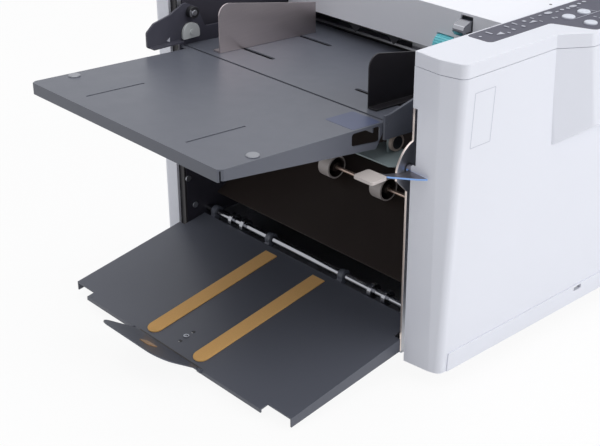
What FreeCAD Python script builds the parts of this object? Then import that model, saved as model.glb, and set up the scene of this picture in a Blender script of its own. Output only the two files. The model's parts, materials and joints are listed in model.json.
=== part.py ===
"""Desk paper folding machine: a friction feeder, a four-roller buckle folder and a delivery tray.

Lengths are millimetres. The model is built in machine axes: +X is the way the paper is fed in,
+Y points away from the operator's side, +Z is up. X zero is the feed end of the side covers,
Y zero is the middle of the paper path and Z zero is the lower edge of the side covers. At the
end every piece is moved so that the origin is the bottom centre of the whole machine's box.
"""
import FreeCAD, Part
import math
import os

V = FreeCAD.Vector
near = -1
far = 1
sides = (near, far)

# Fits shared by every piece
running_fit = 0.05
press_seat = 0.02
body_gap = 0.3
overrun = 5.0
sheet = 1.5

# Side covers
body_length = 430.0
cover_height = 309.5
cover_wall = 3.0
cover_gap_half = 175.3
near_facet_x_low = 3.1
near_facet_y_low_outset = 28.9
near_corner_x_low = 7.0
near_outer_low_outset = 39.9
near_facet_x_high = -2.6
near_facet_y_high_outset = 30.4
near_corner_x_high = 2.5
near_outer_high_outset = 55.1
near_facet_round = 16.0
near_corner_round = 8.0
near_back_round = 12.0
far_outer_low_outset = 25.7
far_outer_high_outset = 27.7
far_corner_round = 10.0
seam_height_drop = 13.5
seam_gap = 0.4
notch_low_drop = 106.5
notch_high_drop = 51.5
notch_depth = 5.7
notch_round = 3.0
notch_length = 24.0
plinth_height = 20.0
plinth_step = 1.2
plinth_corner_x = 8.0
screw_slot_x = 214.5
screw_slot_z = 16.0
screw_slot_length = 12.0
screw_slot_height = 5.0

# Console bulge on the near cover
console_start = 118.0
console_face_start = 150.6
console_face_end_from_rear = 68.0
console_end_from_rear = 38.0
console_outer_outset = 18.6
console_root_y_inset = 3.4
console_lean = 19.0
console_low_drop = 109.0
console_chamfer_height = 17.0
console_round = 9.0

# Control panel in the console
membrane_sheet = 0.8
membrane_x_low = 63.0
membrane_x_high_from_rear = 85.0
membrane_inner_y_outset = 1.7
membrane_strip_y_outset = 29.7
membrane_step_x = 146.0
membrane_wide_x = 160.0
membrane_outer_y_inset = 4.0
membrane_round = 5.0
key_radius = 6.2
key_hole_gap = 0.3
key_x = 172.8
key_y_inset = 40.0
key_pitch_x = 23.0
key_pitch_y = 24.5
key_proud = 1.6
key_travel = 1.0
key_stem_radius = 3.0
key_collar_radius = 7.6
key_collar_height = 1.4

# Side frames and what ties them
frame_inner_y_inset = 9.8
frame_sheet = 2.5
frame_front_x = 4.0
frame_back_x_from_rear = 6.0
frame_low = 5.0
frame_high_drop = 22.5
nose_x = -9.8
nose_low_drop = 121.5
nose_start_z_drop = 112.8
nose_mid_x = -4.1
nose_mid_z_drop = 99.0
nose_top_x = 10.8
nose_top_z_drop = 87.9
tie_bar_radius = 6.0
tie_bar_places_share = ((0.20, 0.12), (0.93, 0.12), (0.93, 0.80))
base_low = 3.0
base_sheet = 2.0
base_flange = 18.0
foot_height = 16.0
foot_radius = 14.0
foot_taper = 2.0
foot_x = 42.0
foot_y_inset = 27.3
boss_radius = 5.0
boss_x = 62.0
boss_back_x_from_rear = 34.0
boss_low = 34.0
boss_high_drop = 37.5
cover_screw_radius = 3.6
cover_screw_head = 1.6
inner_screw_places = ((7.6, 76.1), (15.6, 41.4))

# Rear end cover
end_sheet = 2.5
end_half_width_inset = 0.5
end_high_drop = 14.5
end_shelf_share = 0.55
plate_slot_clear = 6.0
louvre_count = 7
louvre_length = 70.0
louvre_height = 4.0
louvre_pitch = 10.0
louvre_y = 60.0
louvre_low = 30.0
inlet_y = -118.0
inlet_z = 46.0
inlet_width = 30.0
inlet_height = 23.0
inlet_depth = 22.0
inlet_flange = 2.0
inlet_wall = 3.0
inlet_pocket = 15.0
inlet_pin_length = 8.0
inlet_pin_width = 4.0
inlet_pin_sheet = 2.0
inlet_pin_pitch = 7.0
switch_z = 84.0
switch_width = 27.0
switch_height = 20.0
switch_depth = 12.0
switch_proud = 3.5
switch_pin_radius = 1.5
switch_lip = 2.0
switch_rock_gap = 1.4

# Fold rollers, their gears and bushes
roller_radius = 18.0
roller_half_length_inset = 25.3
shaft_radius = 5.0
gear_teeth = 28
gear_module = 1.3
gear_width = 7.0
gear_hub_radius = 9.0
tooth_tip_share = 0.15
tooth_root_share = 0.29
addendum_share = 0.9
dedendum_share = 1.25
center_x = 245.0
center_z_drop = 93.9
bush_wall = 3.0
bush_flange = 2.5
bush_flange_sheet = 1.5
drive_band = 8.0
belt_sheet = 1.3
belt_gap = 0.3
main_pulley_radius = 14.0
feed_pulley_radius = 8.0
exit_pulley_radius = 9.0
motor_pulley_radius = 10.0
pulley_lip = 1.2
pulley_lip_sheet = 1.0
gear_side_gap = 2.0

# Motor
motor_x_from_rear = 94.0
motor_z_drop = 217.5
motor_radius = 32.0
motor_length = 84.0
motor_face_sheet = 5.0
motor_shaft_radius = 4.0
motor_foot_width = 50.0

# Feeder
feed_roller_radius = 13.0
feed_roller_width = 42.0
feed_shaft_radius = 4.0
feed_reach_x = 33.0
feed_rise_z = 3.0
pickup_reach_x = 32.0
pickup_rise_z = 5.0
pickup_radius = 12.0
pickup_width = 30.0
pickup_shaft_radius = 3.0
arm_sheet = 3.0
arm_half_inner = 22.5
arm_boss_radius = 8.0
pad_length = 17.0
pad_width = 30.0
pad_height = 5.0
pad_gap = 0.5
pad_holder_length = 22.0
pad_bar_height = 3.0

# Feed deck: bed, brackets, cam, bushing
bed_slope_share = 0.048
deck_ref_x = -189.0
deck_ref_z_drop = 65.4
bed_front_x = 4.0
bed_back_x = 175.0
bed_flange = 9.0
near_bracket_y_inset = 32.7
far_bracket_y_inset = 20.3
bracket_sheet = 2.5
bracket_back_x = 178.0
bracket_low_drop = 90.5
near_bracket_front_x = -3.0
near_bracket_top_front_x = 5.0
near_bracket_top_front_z_drop = 67.0
near_bracket_top_z_drop = 60.5
near_bracket_top_x = 34.5
bracket_back_top_z_drop = 66.5
far_nose_x = -43.5
far_nose_low_drop = 69.5
far_nose_high_drop = 52.5
far_crest_x = -34.0
far_crest_z_drop = 44.5
far_step_x = -13.0
far_step_z_drop = 39.5
far_lobe_x = 6.7
far_lobe_z_drop = 30.1
far_lobe_end_x = 22.0
far_lobe_end_z_drop = 37.5
far_flange_width = 8.0
far_lobe_foot_x = 32.0
far_foot_round = 3.0
far_hollow_round = 6.0
far_crest_round = 5.0
far_lobe_round = 8.0
far_nose_round = 4.0
deck_peg_radius = 4.0
deck_peg_x = 62.0
deck_peg_pitch = 92.0
deck_peg_z_drop = 84.5
deck_drop = 24.0
deck_rise = 2.0
cam_x = 11.0
cam_z_drop = 61.5
cam_sheet = 3.0
cam_pin_radius = 2.5
cam_flat_z_drop = 68.5
cam_flat_round = 2.0
cam_half_width = 11.0
cam_top_z_drop = 52.0
cam_gap = 0.4
bracket_knob_x = 13.3
bracket_knob_z_drop = 41.0
bracket_knob_radius = 6.2
bracket_knob_length = 7.0
bracket_knob_screw_radius = 3.0
lift_plate_y_inset = 39.3
lift_foot_outer_y_inset = 11.3
lift_foot_z_drop = 109.5
lift_foot_inner_y_inset = 58.3
lift_foot_front_x = -11.8
lift_foot_cut = 5.0
lift_foot_back_x = 25.5
bushing_x = 17.5
bushing_z_drop = 99.3
lift_upright_half = 8.2
bushing_radius = 8.5
bushing_bore = 6.0
bushing_seat_radius = 7.4
bushing_proud = 3.5

# Outer feed tray
tray_half_width_inset = 33.4
tray_inner_x = 1.0
tray_front_drop = 11.5
tray_side_drop_front = 10.0
tray_side_drop_inner = 23.0
tray_relief = 9.0
tray_hinge_x = 0.5
tray_hinge_z_drop = 75.9
tray_pin_radius = 1.5
groove_y_inset = 66.9
groove_outer_x = -171.0
groove_inner_x = -106.0
groove_width = 2.4
groove_depth = 0.7
disc_x = -146.5
disc_y_inset = 8.9
disc_radius = 6.0
disc_dome = 1.4
window_x_low = -41.0
window_x_high = -6.0
window_drop_low = 16.0
window_drop_high = 2.5
window_round = 3.0

# Paper guides
guide_y_inset = 68.3
guide_sheet = 1.5
guide_front_x = 13.0
guide_back_gap = 11.5
guide_corner_x = 26.0
guide_top_z_drop = 24.5
guide_top_back_z_drop = 47.6
guide_round = 12.0
guide_foot_width = 11.0
guide_peg_radius = 3.0
guide_peg_x = 45.0
guide_peg_pitch = 80.0
guide_in_travel = 50.0
guide_out_travel = 20.0
guide_slot_fit = 0.1

# Hood over the feeder
hood_front_x = 158.5
hood_back_x = 308.0
hood_low_drop = 63.0
hood_front_top_drop = 17.5
hood_back_top_drop = 6.5
hood_wall = 2.5
hood_half_width_inset = 10.8
hood_cap_half_width_inset = 1.8
hood_cap_low_drop = 20.5
hood_cap_front_x = 176.0
hood_side_mid_x = 188.0
hood_side_mid_z_drop = 61.5
hood_side_rise_x = 198.0
hood_side_rise_z_drop = 39.5
hood_side_back_x = 266.0
hood_side_back_z_drop = 21.5
hood_hinge_x = 303.0
hood_hinge_z_drop = 17.0
hood_hinge_radius = 4.0
hood_hinge_pin_radius = 2.0
hood_hinge_length = 22.0
hood_hinge_y_inset = 25.3
hood_ear_sheet = 3.0
fin_places = (3.0, 60.0)
fin_half_width = 13.0
fin_top_z_drop = 47.5
fin_root_z_drop = 62.0
fin_tip_z_drop = 73.5
fin_sheet = 1.6
teal_y = -70.2
teal_z_drop = 57.0
teal_x_inset = 3.0
teal_radius = 11.0
teal_width = 20.5
teal_pin_radius = 2.0
teal_slot_gap = 1.0
teal_cheek_sheet = 2.5
teal_cheek_reach = 4.5
teal_rib_count = 24
teal_rib_radius = 0.8
latch_y = -96.8
latch_width = 13.6
latch_pivot_x = 167.0
latch_curl_x = 149.0
latch_curl_z_drop = 38.0
latch_front_x = 144.8
latch_front_z_drop = 33.0
latch_brow_x = 147.0
latch_brow_z_drop = 27.5
latch_crown_x = 157.0
latch_crown_z_drop = 23.5
latch_tail_x = 171.0
latch_tail_z_drop = 22.5
latch_cheek_low_drop = 34.0
latch_round = 2.5
latch_slot_low_drop = 39.0
latch_slot_high_drop = 20.0
latch_pivot_z_drop = 33.0
latch_pivot_radius = 2.0
latch_hub_radius = 4.0
latch_sheet = 1.6
latch_slot_gap = 1.0
latch_bracket_sheet = 2.5

# Fold plates
upper_mouth_x = 268.0
upper_mouth_z_drop = 71.0
upper_angle = 42.0
lower_mouth_x = 269.0
lower_mouth_z_drop = 119.5
lower_angle = -12.0
plate_length = 380.0
plate_half_width_inset = 17.3
plate_gap = 6.6
plate_sheet = 1.8
plate_rail = 10.0
plate_rail_height = 14.0
plate_mouth_trim = 12.0
plate_slot_y_inset = 65.3
plate_slot_width = 6.0
plate_slot_start = 90.0
plate_slot_end = 360.0
plate_window_count = 3
plate_window_width = 34.0
plate_window_pitch = 52.0
plate_window_start = 70.0
plate_window_end = 345.0
plate_window_round = 6.0
plate_peg_radius = 5.0
plate_peg_places = (30.0, 62.0)
stop_place = 218.0
stop_back_travel = 120.0
stop_fore_travel = 130.0
stop_bar_height = 5.6
stop_bar_length = 12.0
stop_half_width_inset = 35.3
stop_stud_radius = 2.8
stop_grip_radius = 9.0
stop_grip_height = 9.0

# Delivery: chute, exit shaft, tray, flap
chute_sheet = 1.5
chute_gap = 9.0
chute_start_x = 225.0
chute_start_z_drop = 120.0
chute_bend_x = 199.0
chute_bend_z_drop = 133.5
chute_low_x = 112.0
chute_low_z = 82.0
chute_end_x = 48.0
chute_flare_share = 1.4
chute_end_z = 47.0
exit_shaft_x = 108.0
exit_shaft_z = 103.0
exit_shaft_radius = 2.0
exit_drum_y = 39.0
exit_drum_width = 16.0
exit_drum_radius = 13.0
exit_drum_sheet = 2.0
exit_hub_radius = 5.0
exit_tray_slope_share = 0.181
exit_ref_x = -150.2
exit_ref_z = -3.72
exit_corner_x = -141.0
exit_half_width_inset = 3.4
exit_lip_y_inset = 35.3
exit_notch_y_inset = 28.3
exit_tail_x = -2.0
exit_tail_half_width_inset = 12.3
exit_tail_end_x = 27.0
exit_tray_sheet = 1.5
exit_lip = 4.0
exit_side_front = 9.6
exit_side_inner = 13.7
exit_cut_half = 52.0
exit_hole_x = (-134.7, -118.0)
exit_hole_radius = 1.6
exit_rivet_x = -126.3
exit_rivet_radius = 3.0
exit_rivet_proud = 0.8
pivot_x = 35.0
pivot_z = 32.0
pivot_radius = 4.0
pivot_arm_width = 7.0
pivot_arm_inner_y = 60.0
pivot_arm_outer_y_inset = 22.3
pivot_arm_wall = 2.6
collar_radius = 8.0
collar_width = 5.0
collar_outer_y_inset = 53.8
collar_spacing = 19.5
felt_y = 37.0
felt_width = 18.0
felt_sheet = 1.2
felt_outer_x = -144.5
felt_inner_x = 18.0
flap_hinge_x = -152.4
flap_hinge_z = -2.2
flap_angle = 34.0
flap_length = 53.0
flap_half_width = 51.5
flap_sheet = 1.2
flap_round = 20.0
flap_barrel_radius = 1.6
flap_pin_radius = 0.9
flap_ear_width = 4.0
flap_ear_gap = 0.4
flap_ear_wall = 1.4

# Side-release lever at the feed end
lever_z_drop = 112.7
lever_root_inset = 0.6
lever_sheet = 1.6
lever_pivot_x = 5.5
lever_hub_radius = 5.0
lever_pin_radius = 2.5
lever_hub_low_inset = 6.1
lever_hub_high_inset = 1.3
lever_root_x = -0.9
lever_root_y_outset = 2.2
lever_tip_x = -2.6
lever_tip_y_outset = 22.7
lever_bend_x = -9.5
lever_bend_y_outset = 15.5
lever_neck_x = -25.0
lever_neck_y_inset = 6.3
lever_band = 6.0
pad_x_low = -45.0
pad_x_high = -25.0
pad_y_low_inset = 27.8
pad_y_high_inset = 3.8
lever_pad_height = 2.0
lever_pad_round = 3.0

# Worked out from the sizes above
seam_height = cover_height - seam_height_drop
notch_low = cover_height - notch_low_drop
notch_high = cover_height - notch_high_drop
console_low = cover_height - console_low_drop
frame_high = cover_height - frame_high_drop
nose_low = cover_height - nose_low_drop
nose_start_z = cover_height - nose_start_z_drop
nose_mid_z = cover_height - nose_mid_z_drop
nose_top_z = cover_height - nose_top_z_drop
boss_high = cover_height - boss_high_drop
end_high = cover_height - end_high_drop
center_z = cover_height - center_z_drop
deck_ref_z = cover_height - deck_ref_z_drop
bracket_low = cover_height - bracket_low_drop
near_bracket_top_front_z = cover_height - near_bracket_top_front_z_drop
near_bracket_top_z = cover_height - near_bracket_top_z_drop
bracket_back_top_z = cover_height - bracket_back_top_z_drop
far_nose_low = cover_height - far_nose_low_drop
far_nose_high = cover_height - far_nose_high_drop
far_crest_z = cover_height - far_crest_z_drop
far_step_z = cover_height - far_step_z_drop
far_lobe_z = cover_height - far_lobe_z_drop
far_lobe_end_z = cover_height - far_lobe_end_z_drop
deck_peg_z = cover_height - deck_peg_z_drop
cam_z = cover_height - cam_z_drop
cam_flat_z = cover_height - cam_flat_z_drop
cam_top_z = cover_height - cam_top_z_drop
bracket_knob_z = cover_height - bracket_knob_z_drop
lift_foot_z = cover_height - lift_foot_z_drop
bushing_z = cover_height - bushing_z_drop
tray_hinge_z = cover_height - tray_hinge_z_drop
guide_top_z = cover_height - guide_top_z_drop
guide_top_back_z = cover_height - guide_top_back_z_drop
hood_low = cover_height - hood_low_drop
hood_front_top = cover_height - hood_front_top_drop
hood_back_top = cover_height - hood_back_top_drop
hood_cap_low = cover_height - hood_cap_low_drop
hood_side_mid_z = cover_height - hood_side_mid_z_drop
hood_side_rise_z = cover_height - hood_side_rise_z_drop
hood_side_back_z = cover_height - hood_side_back_z_drop
hood_hinge_z = cover_height - hood_hinge_z_drop
fin_top_z = cover_height - fin_top_z_drop
fin_root_z = cover_height - fin_root_z_drop
fin_tip_z = cover_height - fin_tip_z_drop
teal_z = cover_height - teal_z_drop
latch_pivot_z = cover_height - latch_pivot_z_drop
latch_curl_z = cover_height - latch_curl_z_drop
latch_front_z = cover_height - latch_front_z_drop
latch_brow_z = cover_height - latch_brow_z_drop
latch_crown_z = cover_height - latch_crown_z_drop
latch_tail_z = cover_height - latch_tail_z_drop
latch_cheek_low = cover_height - latch_cheek_low_drop
latch_slot_low = cover_height - latch_slot_low_drop
latch_slot_high = cover_height - latch_slot_high_drop
upper_mouth_z = cover_height - upper_mouth_z_drop
lower_mouth_z = cover_height - lower_mouth_z_drop
chute_start_z = cover_height - chute_start_z_drop
chute_bend_z = cover_height - chute_bend_z_drop
lever_z = cover_height - lever_z_drop
motor_z = cover_height - motor_z_drop

near_facet_y_low = cover_gap_half + near_facet_y_low_outset
near_outer_low = cover_gap_half + near_outer_low_outset
near_facet_y_high = cover_gap_half + near_facet_y_high_outset
near_outer_high = cover_gap_half + near_outer_high_outset
far_outer_low = cover_gap_half + far_outer_low_outset
far_outer_high = cover_gap_half + far_outer_high_outset
membrane_inner_y = cover_gap_half + membrane_inner_y_outset
membrane_strip_y = cover_gap_half + membrane_strip_y_outset
lever_root_y = cover_gap_half + lever_root_y_outset
lever_tip_y = cover_gap_half + lever_tip_y_outset
lever_bend_y = cover_gap_half + lever_bend_y_outset
frame_inner_y = cover_gap_half - frame_inner_y_inset
end_half_width = cover_gap_half - end_half_width_inset
foot_y = cover_gap_half - foot_y_inset
roller_half_length = cover_gap_half - roller_half_length_inset
near_bracket_y = cover_gap_half - near_bracket_y_inset
far_bracket_y = cover_gap_half - far_bracket_y_inset
lift_foot_inner_y = cover_gap_half - lift_foot_inner_y_inset
lift_plate_y = cover_gap_half - lift_plate_y_inset
lift_foot_outer_y = cover_gap_half - lift_foot_outer_y_inset
tray_half_width = cover_gap_half - tray_half_width_inset
guide_y = cover_gap_half - guide_y_inset
hood_half_width = cover_gap_half - hood_half_width_inset
hood_cap_half_width = cover_gap_half - hood_cap_half_width_inset
hood_hinge_y = cover_gap_half - hood_hinge_y_inset
plate_half_width = cover_gap_half - plate_half_width_inset
plate_slot_y = cover_gap_half - plate_slot_y_inset
stop_half_width = cover_gap_half - stop_half_width_inset
exit_half_width = cover_gap_half - exit_half_width_inset
exit_lip_y = cover_gap_half - exit_lip_y_inset
exit_notch_y = cover_gap_half - exit_notch_y_inset
exit_tail_half_width = cover_gap_half - exit_tail_half_width_inset
lever_hub_low = cover_gap_half - lever_hub_low_inset
lever_hub_high = cover_gap_half - lever_hub_high_inset
lever_neck_y = cover_gap_half - lever_neck_y_inset
pad_y_low = cover_gap_half - pad_y_low_inset
pad_y_high = cover_gap_half - pad_y_high_inset
groove_y = tray_half_width - groove_y_inset
disc_y = tray_half_width - disc_y_inset
console_root_y = near_outer_high - console_root_y_inset
console_outer = near_outer_high + console_outer_outset
membrane_outer_y = console_outer - membrane_outer_y_inset
key_y = membrane_outer_y - key_y_inset
pivot_arm_places = (pivot_arm_inner_y, cover_gap_half - pivot_arm_outer_y_inset)
collar_outer_y = cover_gap_half - collar_outer_y_inset
collar_places = (collar_outer_y - collar_spacing, collar_outer_y)

console_face_end = body_length - console_face_end_from_rear
console_end = body_length - console_end_from_rear
membrane_x_high = body_length - membrane_x_high_from_rear
frame_back_x = body_length - frame_back_x_from_rear
boss_back_x = body_length - boss_back_x_from_rear
motor_x = body_length - motor_x_from_rear
end_top_x = hood_back_x + (frame_back_x - hood_back_x) * end_shelf_share
guide_back_x = hood_front_x - guide_back_gap
teal_x = hood_front_x + teal_x_inset

gear_pitch_radius = gear_module * gear_teeth / 2
roller_spacing = 2 * gear_pitch_radius
frame_outer_y = frame_inner_y + frame_sheet
bush_radius = shaft_radius + bush_wall
feed_x = center_x - feed_reach_x
feed_z = center_z + roller_spacing + feed_rise_z
pickup_x = feed_x - pickup_reach_x
pickup_z = feed_z + pickup_rise_z
gear_start_y = frame_outer_y + bush_flange_sheet + gear_side_gap
gear_end_y = gear_start_y + gear_width
band_start_y = gear_end_y + gear_side_gap
band_end_y = band_start_y + drive_band
exit_band_start_y = frame_outer_y + bush_flange_sheet + gear_side_gap
exit_band_end_y = exit_band_start_y + drive_band
roller_places = {
    "top": (center_x, center_z + roller_spacing),
    "center": (center_x, center_z),
    "right": (center_x + roller_spacing, center_z),
    "bottom": (center_x, center_z - roller_spacing),
}
upper_frame = (upper_mouth_x, upper_mouth_z, upper_angle)
lower_frame = (lower_mouth_x, lower_mouth_z, lower_angle)


def deck_z(x):
    """Height of the feed deck's top surface."""
    return deck_ref_z - bed_slope_share * (x - deck_ref_x)


def exit_z(x):
    """Height of the delivery tray's top surface."""
    return exit_ref_z + exit_tray_slope_share * (x - exit_ref_x)


# Building blocks
def block(x_low, x_high, y_low, y_high, z_low, z_high):
    corner = V(x_low, y_low, z_low)
    return Part.makeBox(x_high - x_low, y_high - y_low, z_high - z_low, corner)


def outline(points, rounding=0):
    """Closed wire through the points, each corner rounded by its own radius."""
    count = len(points)
    radii = list(rounding) if isinstance(rounding, (list, tuple)) else [rounding] * count
    starts = []
    middles = []
    ends = []
    for index, point in enumerate(points):
        back = (points[index - 1] - point).normalize()
        ahead = (points[(index + 1) % count] - point).normalize()
        radius = radii[index]
        if radius <= 0:
            starts.append(point)
            middles.append(None)
            ends.append(point)
            continue
        half_angle = back.getAngle(ahead) / 2
        reach = radius / math.tan(half_angle)
        bisector = (back + ahead).normalize()
        starts.append(point + back * reach)
        middles.append(point + bisector * (radius / math.sin(half_angle) - radius))
        ends.append(point + ahead * reach)
    edges = []
    for index in range(count):
        if middles[index] is not None:
            edges.append(Part.Arc(starts[index], middles[index], ends[index]).toShape())
        following = starts[(index + 1) % count]
        if (following - ends[index]).Length > press_seat / 2:
            edges.append(Part.LineSegment(ends[index], following).toShape())
    return Part.Wire(edges)


def side_profile(points, y_low, y_high, rounding=0):
    """Solid from an outline of (x, z) points, between two Y places."""
    wire = outline([V(x, y_low, z) for x, z in points], rounding)
    return Part.Face(wire).extrude(V(0, y_high - y_low, 0))


def plan_profile(points, z_low, z_high, rounding=0):
    """Solid from an outline of (x, y) points, between two heights."""
    wire = outline([V(x, y, z_low) for x, y in points], rounding)
    return Part.Face(wire).extrude(V(0, 0, z_high - z_low))


def end_profile(points, x_low, x_high, rounding=0):
    """Solid from an outline of (y, z) points, between two X places."""
    wire = outline([V(x_low, y, z) for y, z in points], rounding)
    return Part.Face(wire).extrude(V(x_high - x_low, 0, 0))


def cross_rod(x, z, radius, y_low, y_high):
    return Part.makeCylinder(radius, y_high - y_low, V(x, y_low, z), V(0, 1, 0))


def upright_rod(x, y, radius, z_low, z_high):
    return Part.makeCylinder(radius, z_high - z_low, V(x, y, z_low), V(0, 0, 1))


def long_rod(y, z, radius, x_low, x_high):
    return Part.makeCylinder(radius, x_high - x_low, V(x_low, y, z), V(1, 0, 0))


def join(shapes):
    shapes = list(shapes)
    result = shapes[0]
    if len(shapes) > 1:
        result = result.fuse(shapes[1:])
    return result.removeSplitter()


def rim_at(shape, height):
    """Edges that lie level at one height."""
    return [edge for edge in shape.Edges if edge.BoundBox.ZMin > height - press_seat]


def span(side, low, high):
    """A Y range given as distances from the middle, on one side of the machine."""
    return (low, high) if side == far else (-high, -low)


def bent_sheet(points, thickness, y_low, y_high):
    """Sheet that follows (x, z) points, its thickness below the line."""
    upper = [V(x, 0, z) for x, z in points]
    lower = []
    for index, point in enumerate(upper):
        normals = []
        for first, second in ((index - 1, index), (index, index + 1)):
            if first >= 0 and second < len(upper):
                run = (upper[second] - upper[first]).normalize()
                normals.append(V(run.z, 0, -run.x))
        normal = normals[0] if len(normals) == 1 else (normals[0] + normals[1]).normalize()
        stretch = thickness / normal.dot(normals[0])
        lower.append(point + normal * stretch)
    pairs = [(point.x, point.z) for point in upper + lower[::-1]]
    return side_profile(pairs, y_low, y_high)


# Near cover: slanted walls, console bulge, cap
def near_outline(share, height, inset, open_side):
    def between(low, high):
        return low + (high - low) * share
    facet_x = between(near_facet_x_low, near_facet_x_high)
    facet_y = between(near_facet_y_low, near_facet_y_high)
    corner_x = between(near_corner_x_low, near_corner_x_high)
    outer = between(near_outer_low, near_outer_high)
    points = [
        V(inset, -cover_gap_half + open_side, height),
        V(facet_x + inset, -facet_y, height),
        V(corner_x + inset, -outer + inset, height),
        V(body_length - inset, -outer + inset, height),
        V(body_length - inset, -cover_gap_half + open_side, height),
    ]
    radii = (0, near_facet_round, near_corner_round, near_back_round, 0)
    return outline(points, radii)


def near_body(inset, open_side):
    low = near_outline(0, 0, inset, open_side)
    high = near_outline(1, cover_height, inset, open_side)
    return Part.makeLoft([low, high], True, True)


def console_body(inset):
    root = near_outer_low - cover_wall
    reach = cover_height - console_low
    wires = []
    for height, lean in ((console_low, console_lean), (cover_height, 0)):
        points = [
            V(console_start + lean - near_corner_round, -root, height),
            V(console_start + lean + inset, -console_root_y + inset, height),
            V(console_face_start + lean + inset, -console_outer + inset, height),
            V(console_face_end - inset, -console_outer + inset, height),
            V(console_end - inset, -console_root_y + inset, height),
            V(console_end + near_corner_round, -root, height),
        ]
        wires.append(outline(points, (0, console_round, console_round, console_round, console_round, 0)))
    plan = Part.makeLoft(wires, True, True)
    rise = console_chamfer_height * inset / (console_outer - console_root_y)
    low = console_low + inset + rise
    under = end_profile([
        (-root, low),
        (-console_root_y, low),
        (-console_outer, low + console_chamfer_height),
        (-console_outer, low + reach),
        (-root, low + reach),
    ], console_start - near_back_round, console_end + near_back_round)
    return plan.common(under)


def near_shell():
    outer = near_body(0, 0).fuse(console_body(0))
    top = cover_height - cover_wall
    room = block(-overrun, body_length + overrun, -console_outer, -cover_gap_half + overrun, -overrun, top)
    inner = near_body(cover_wall, overrun).fuse(console_body(cover_wall)).common(room)
    return outer.cut(inner).removeSplitter()


def cover_bosses(side, outer_low, outer_high):
    """Posts that carry a side cover on the frame's outer face."""
    rods = []
    for x in (boss_x, boss_back_x):
        for z in (boss_low, boss_high):
            wall_y = outer_low + (outer_high - outer_low) * z / cover_height
            y_low, y_high = span(side, frame_outer_y, wall_y - cover_wall / 2)
            rods.append(cross_rod(x, z, boss_radius, y_low, y_high))
    return rods


def near_side_cover():
    shell = near_shell()
    below = block(-overrun * 2, body_length + overrun, -console_outer - overrun, 0, -overrun, seam_height)
    cover = shell.common(below)
    notch = side_profile([
        (-overrun * 2, notch_low),
        (notch_length, notch_low),
        (notch_length, notch_high),
        (-overrun * 2, notch_high),
    ], -cover_gap_half - notch_depth, -cover_gap_half + overrun, (0, notch_round, notch_round, 0))
    slot_low = screw_slot_x - screw_slot_length / 2
    slot_floor = screw_slot_z - screw_slot_height / 2
    screw_slot = block(slot_low, slot_low + screw_slot_length, -near_outer_low - overrun,
                       -near_outer_low + cover_wall + plinth_step,
                       slot_floor, slot_floor + screw_slot_height)
    cover = join([cover] + cover_bosses(near, near_outer_low, near_outer_high) + [near_plinth()])
    return cover.cut([notch, screw_slot])


def near_plinth():
    """Thicker foot of the cover's outer wall."""
    skirt = near_body(0, 0).common(block(plinth_corner_x + near_corner_round, body_length, -console_outer,
                                         -near_outer_low + cover_wall, 0, plinth_height))
    skirt.translate(V(0, -plinth_step, 0))
    return skirt


def near_top_cap():
    shell = near_shell()
    low = seam_height + seam_gap
    above = block(-overrun * 2, body_length + overrun, -console_outer - overrun, 0, low, cover_height + overrun)
    cap = shell.common(above)
    lip = block(cover_wall / 2, body_length - cover_wall / 2, -cover_gap_half - cover_wall, -cover_gap_half,
                low, cover_height - cover_wall / 2)
    cap = cap.fuse(lip)
    recess = membrane_blank(0)
    holes = []
    for x, y in key_places():
        holes.append(upright_rod(x, y, key_radius + key_hole_gap, low, cover_height + overrun))
    return cap.cut([recess] + holes).removeSplitter()


def membrane_blank(gap):
    points = [
        (membrane_x_low + gap, -membrane_inner_y - gap),
        (membrane_x_low + gap, -membrane_strip_y + gap),
        (membrane_step_x, -membrane_strip_y + gap),
        (membrane_wide_x + gap, -membrane_outer_y + gap),
        (membrane_x_high - gap, -membrane_outer_y + gap),
        (membrane_x_high - gap, -membrane_inner_y - gap),
    ]
    floor = cover_height - membrane_sheet
    return plan_profile(points, floor, cover_height + gap, membrane_round)


def control_membrane():
    blank = membrane_blank(0).common(block(0, body_length, -console_outer, 0, 0, cover_height))
    holes = []
    for x, y in key_places():
        holes.append(upright_rod(x, y, key_radius + key_hole_gap, 0, cover_height + overrun))
    return blank.cut(holes)


def key_places():
    """Start, stop and reset keys on one grid."""
    return (
        (key_x + key_pitch_x, -key_y),
        (key_x, -key_y),
        (key_x, -key_y - key_pitch_y),
    )


def panel_key(index):
    x, y = key_places()[index]
    top = cover_height + key_proud
    collar_top = cover_height - cover_wall - key_travel / 4
    button = upright_rod(x, y, key_radius, collar_top - key_collar_height, top)
    button = button.makeChamfer(key_proud / 2, rim_at(button, top))
    collar = upright_rod(x, y, key_collar_radius, collar_top - key_collar_height, collar_top)
    return join([button, collar])


# Far cover
def far_body(inset, open_side):
    wires = []
    for height, outer in ((0, far_outer_low), (cover_height, far_outer_high)):
        points = [
            V(inset, cover_gap_half - open_side, height),
            V(body_length - inset, cover_gap_half - open_side, height),
            V(body_length - inset, outer - inset, height),
            V(inset, outer - inset, height),
        ]
        wires.append(outline(points, (0, 0, far_corner_round, far_corner_round)))
    return Part.makeLoft(wires, True, True)


def far_side_cover():
    room = block(-overrun, body_length + overrun, 0, far_outer_high, -overrun, cover_height - cover_wall)
    shell = far_body(0, 0).cut(far_body(cover_wall, overrun).common(room))
    lip = block(cover_wall / 2, body_length - cover_wall / 2, cover_gap_half, cover_gap_half + cover_wall,
                seam_height, cover_height - cover_wall / 2)
    return join([shell, lip] + cover_bosses(far, far_outer_low, far_outer_high))


# Frames
def frame_outline():
    return [
        (frame_front_x, frame_low),
        (frame_back_x, frame_low),
        (frame_back_x, frame_high),
        (nose_top_x, frame_high),
    ]


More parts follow.
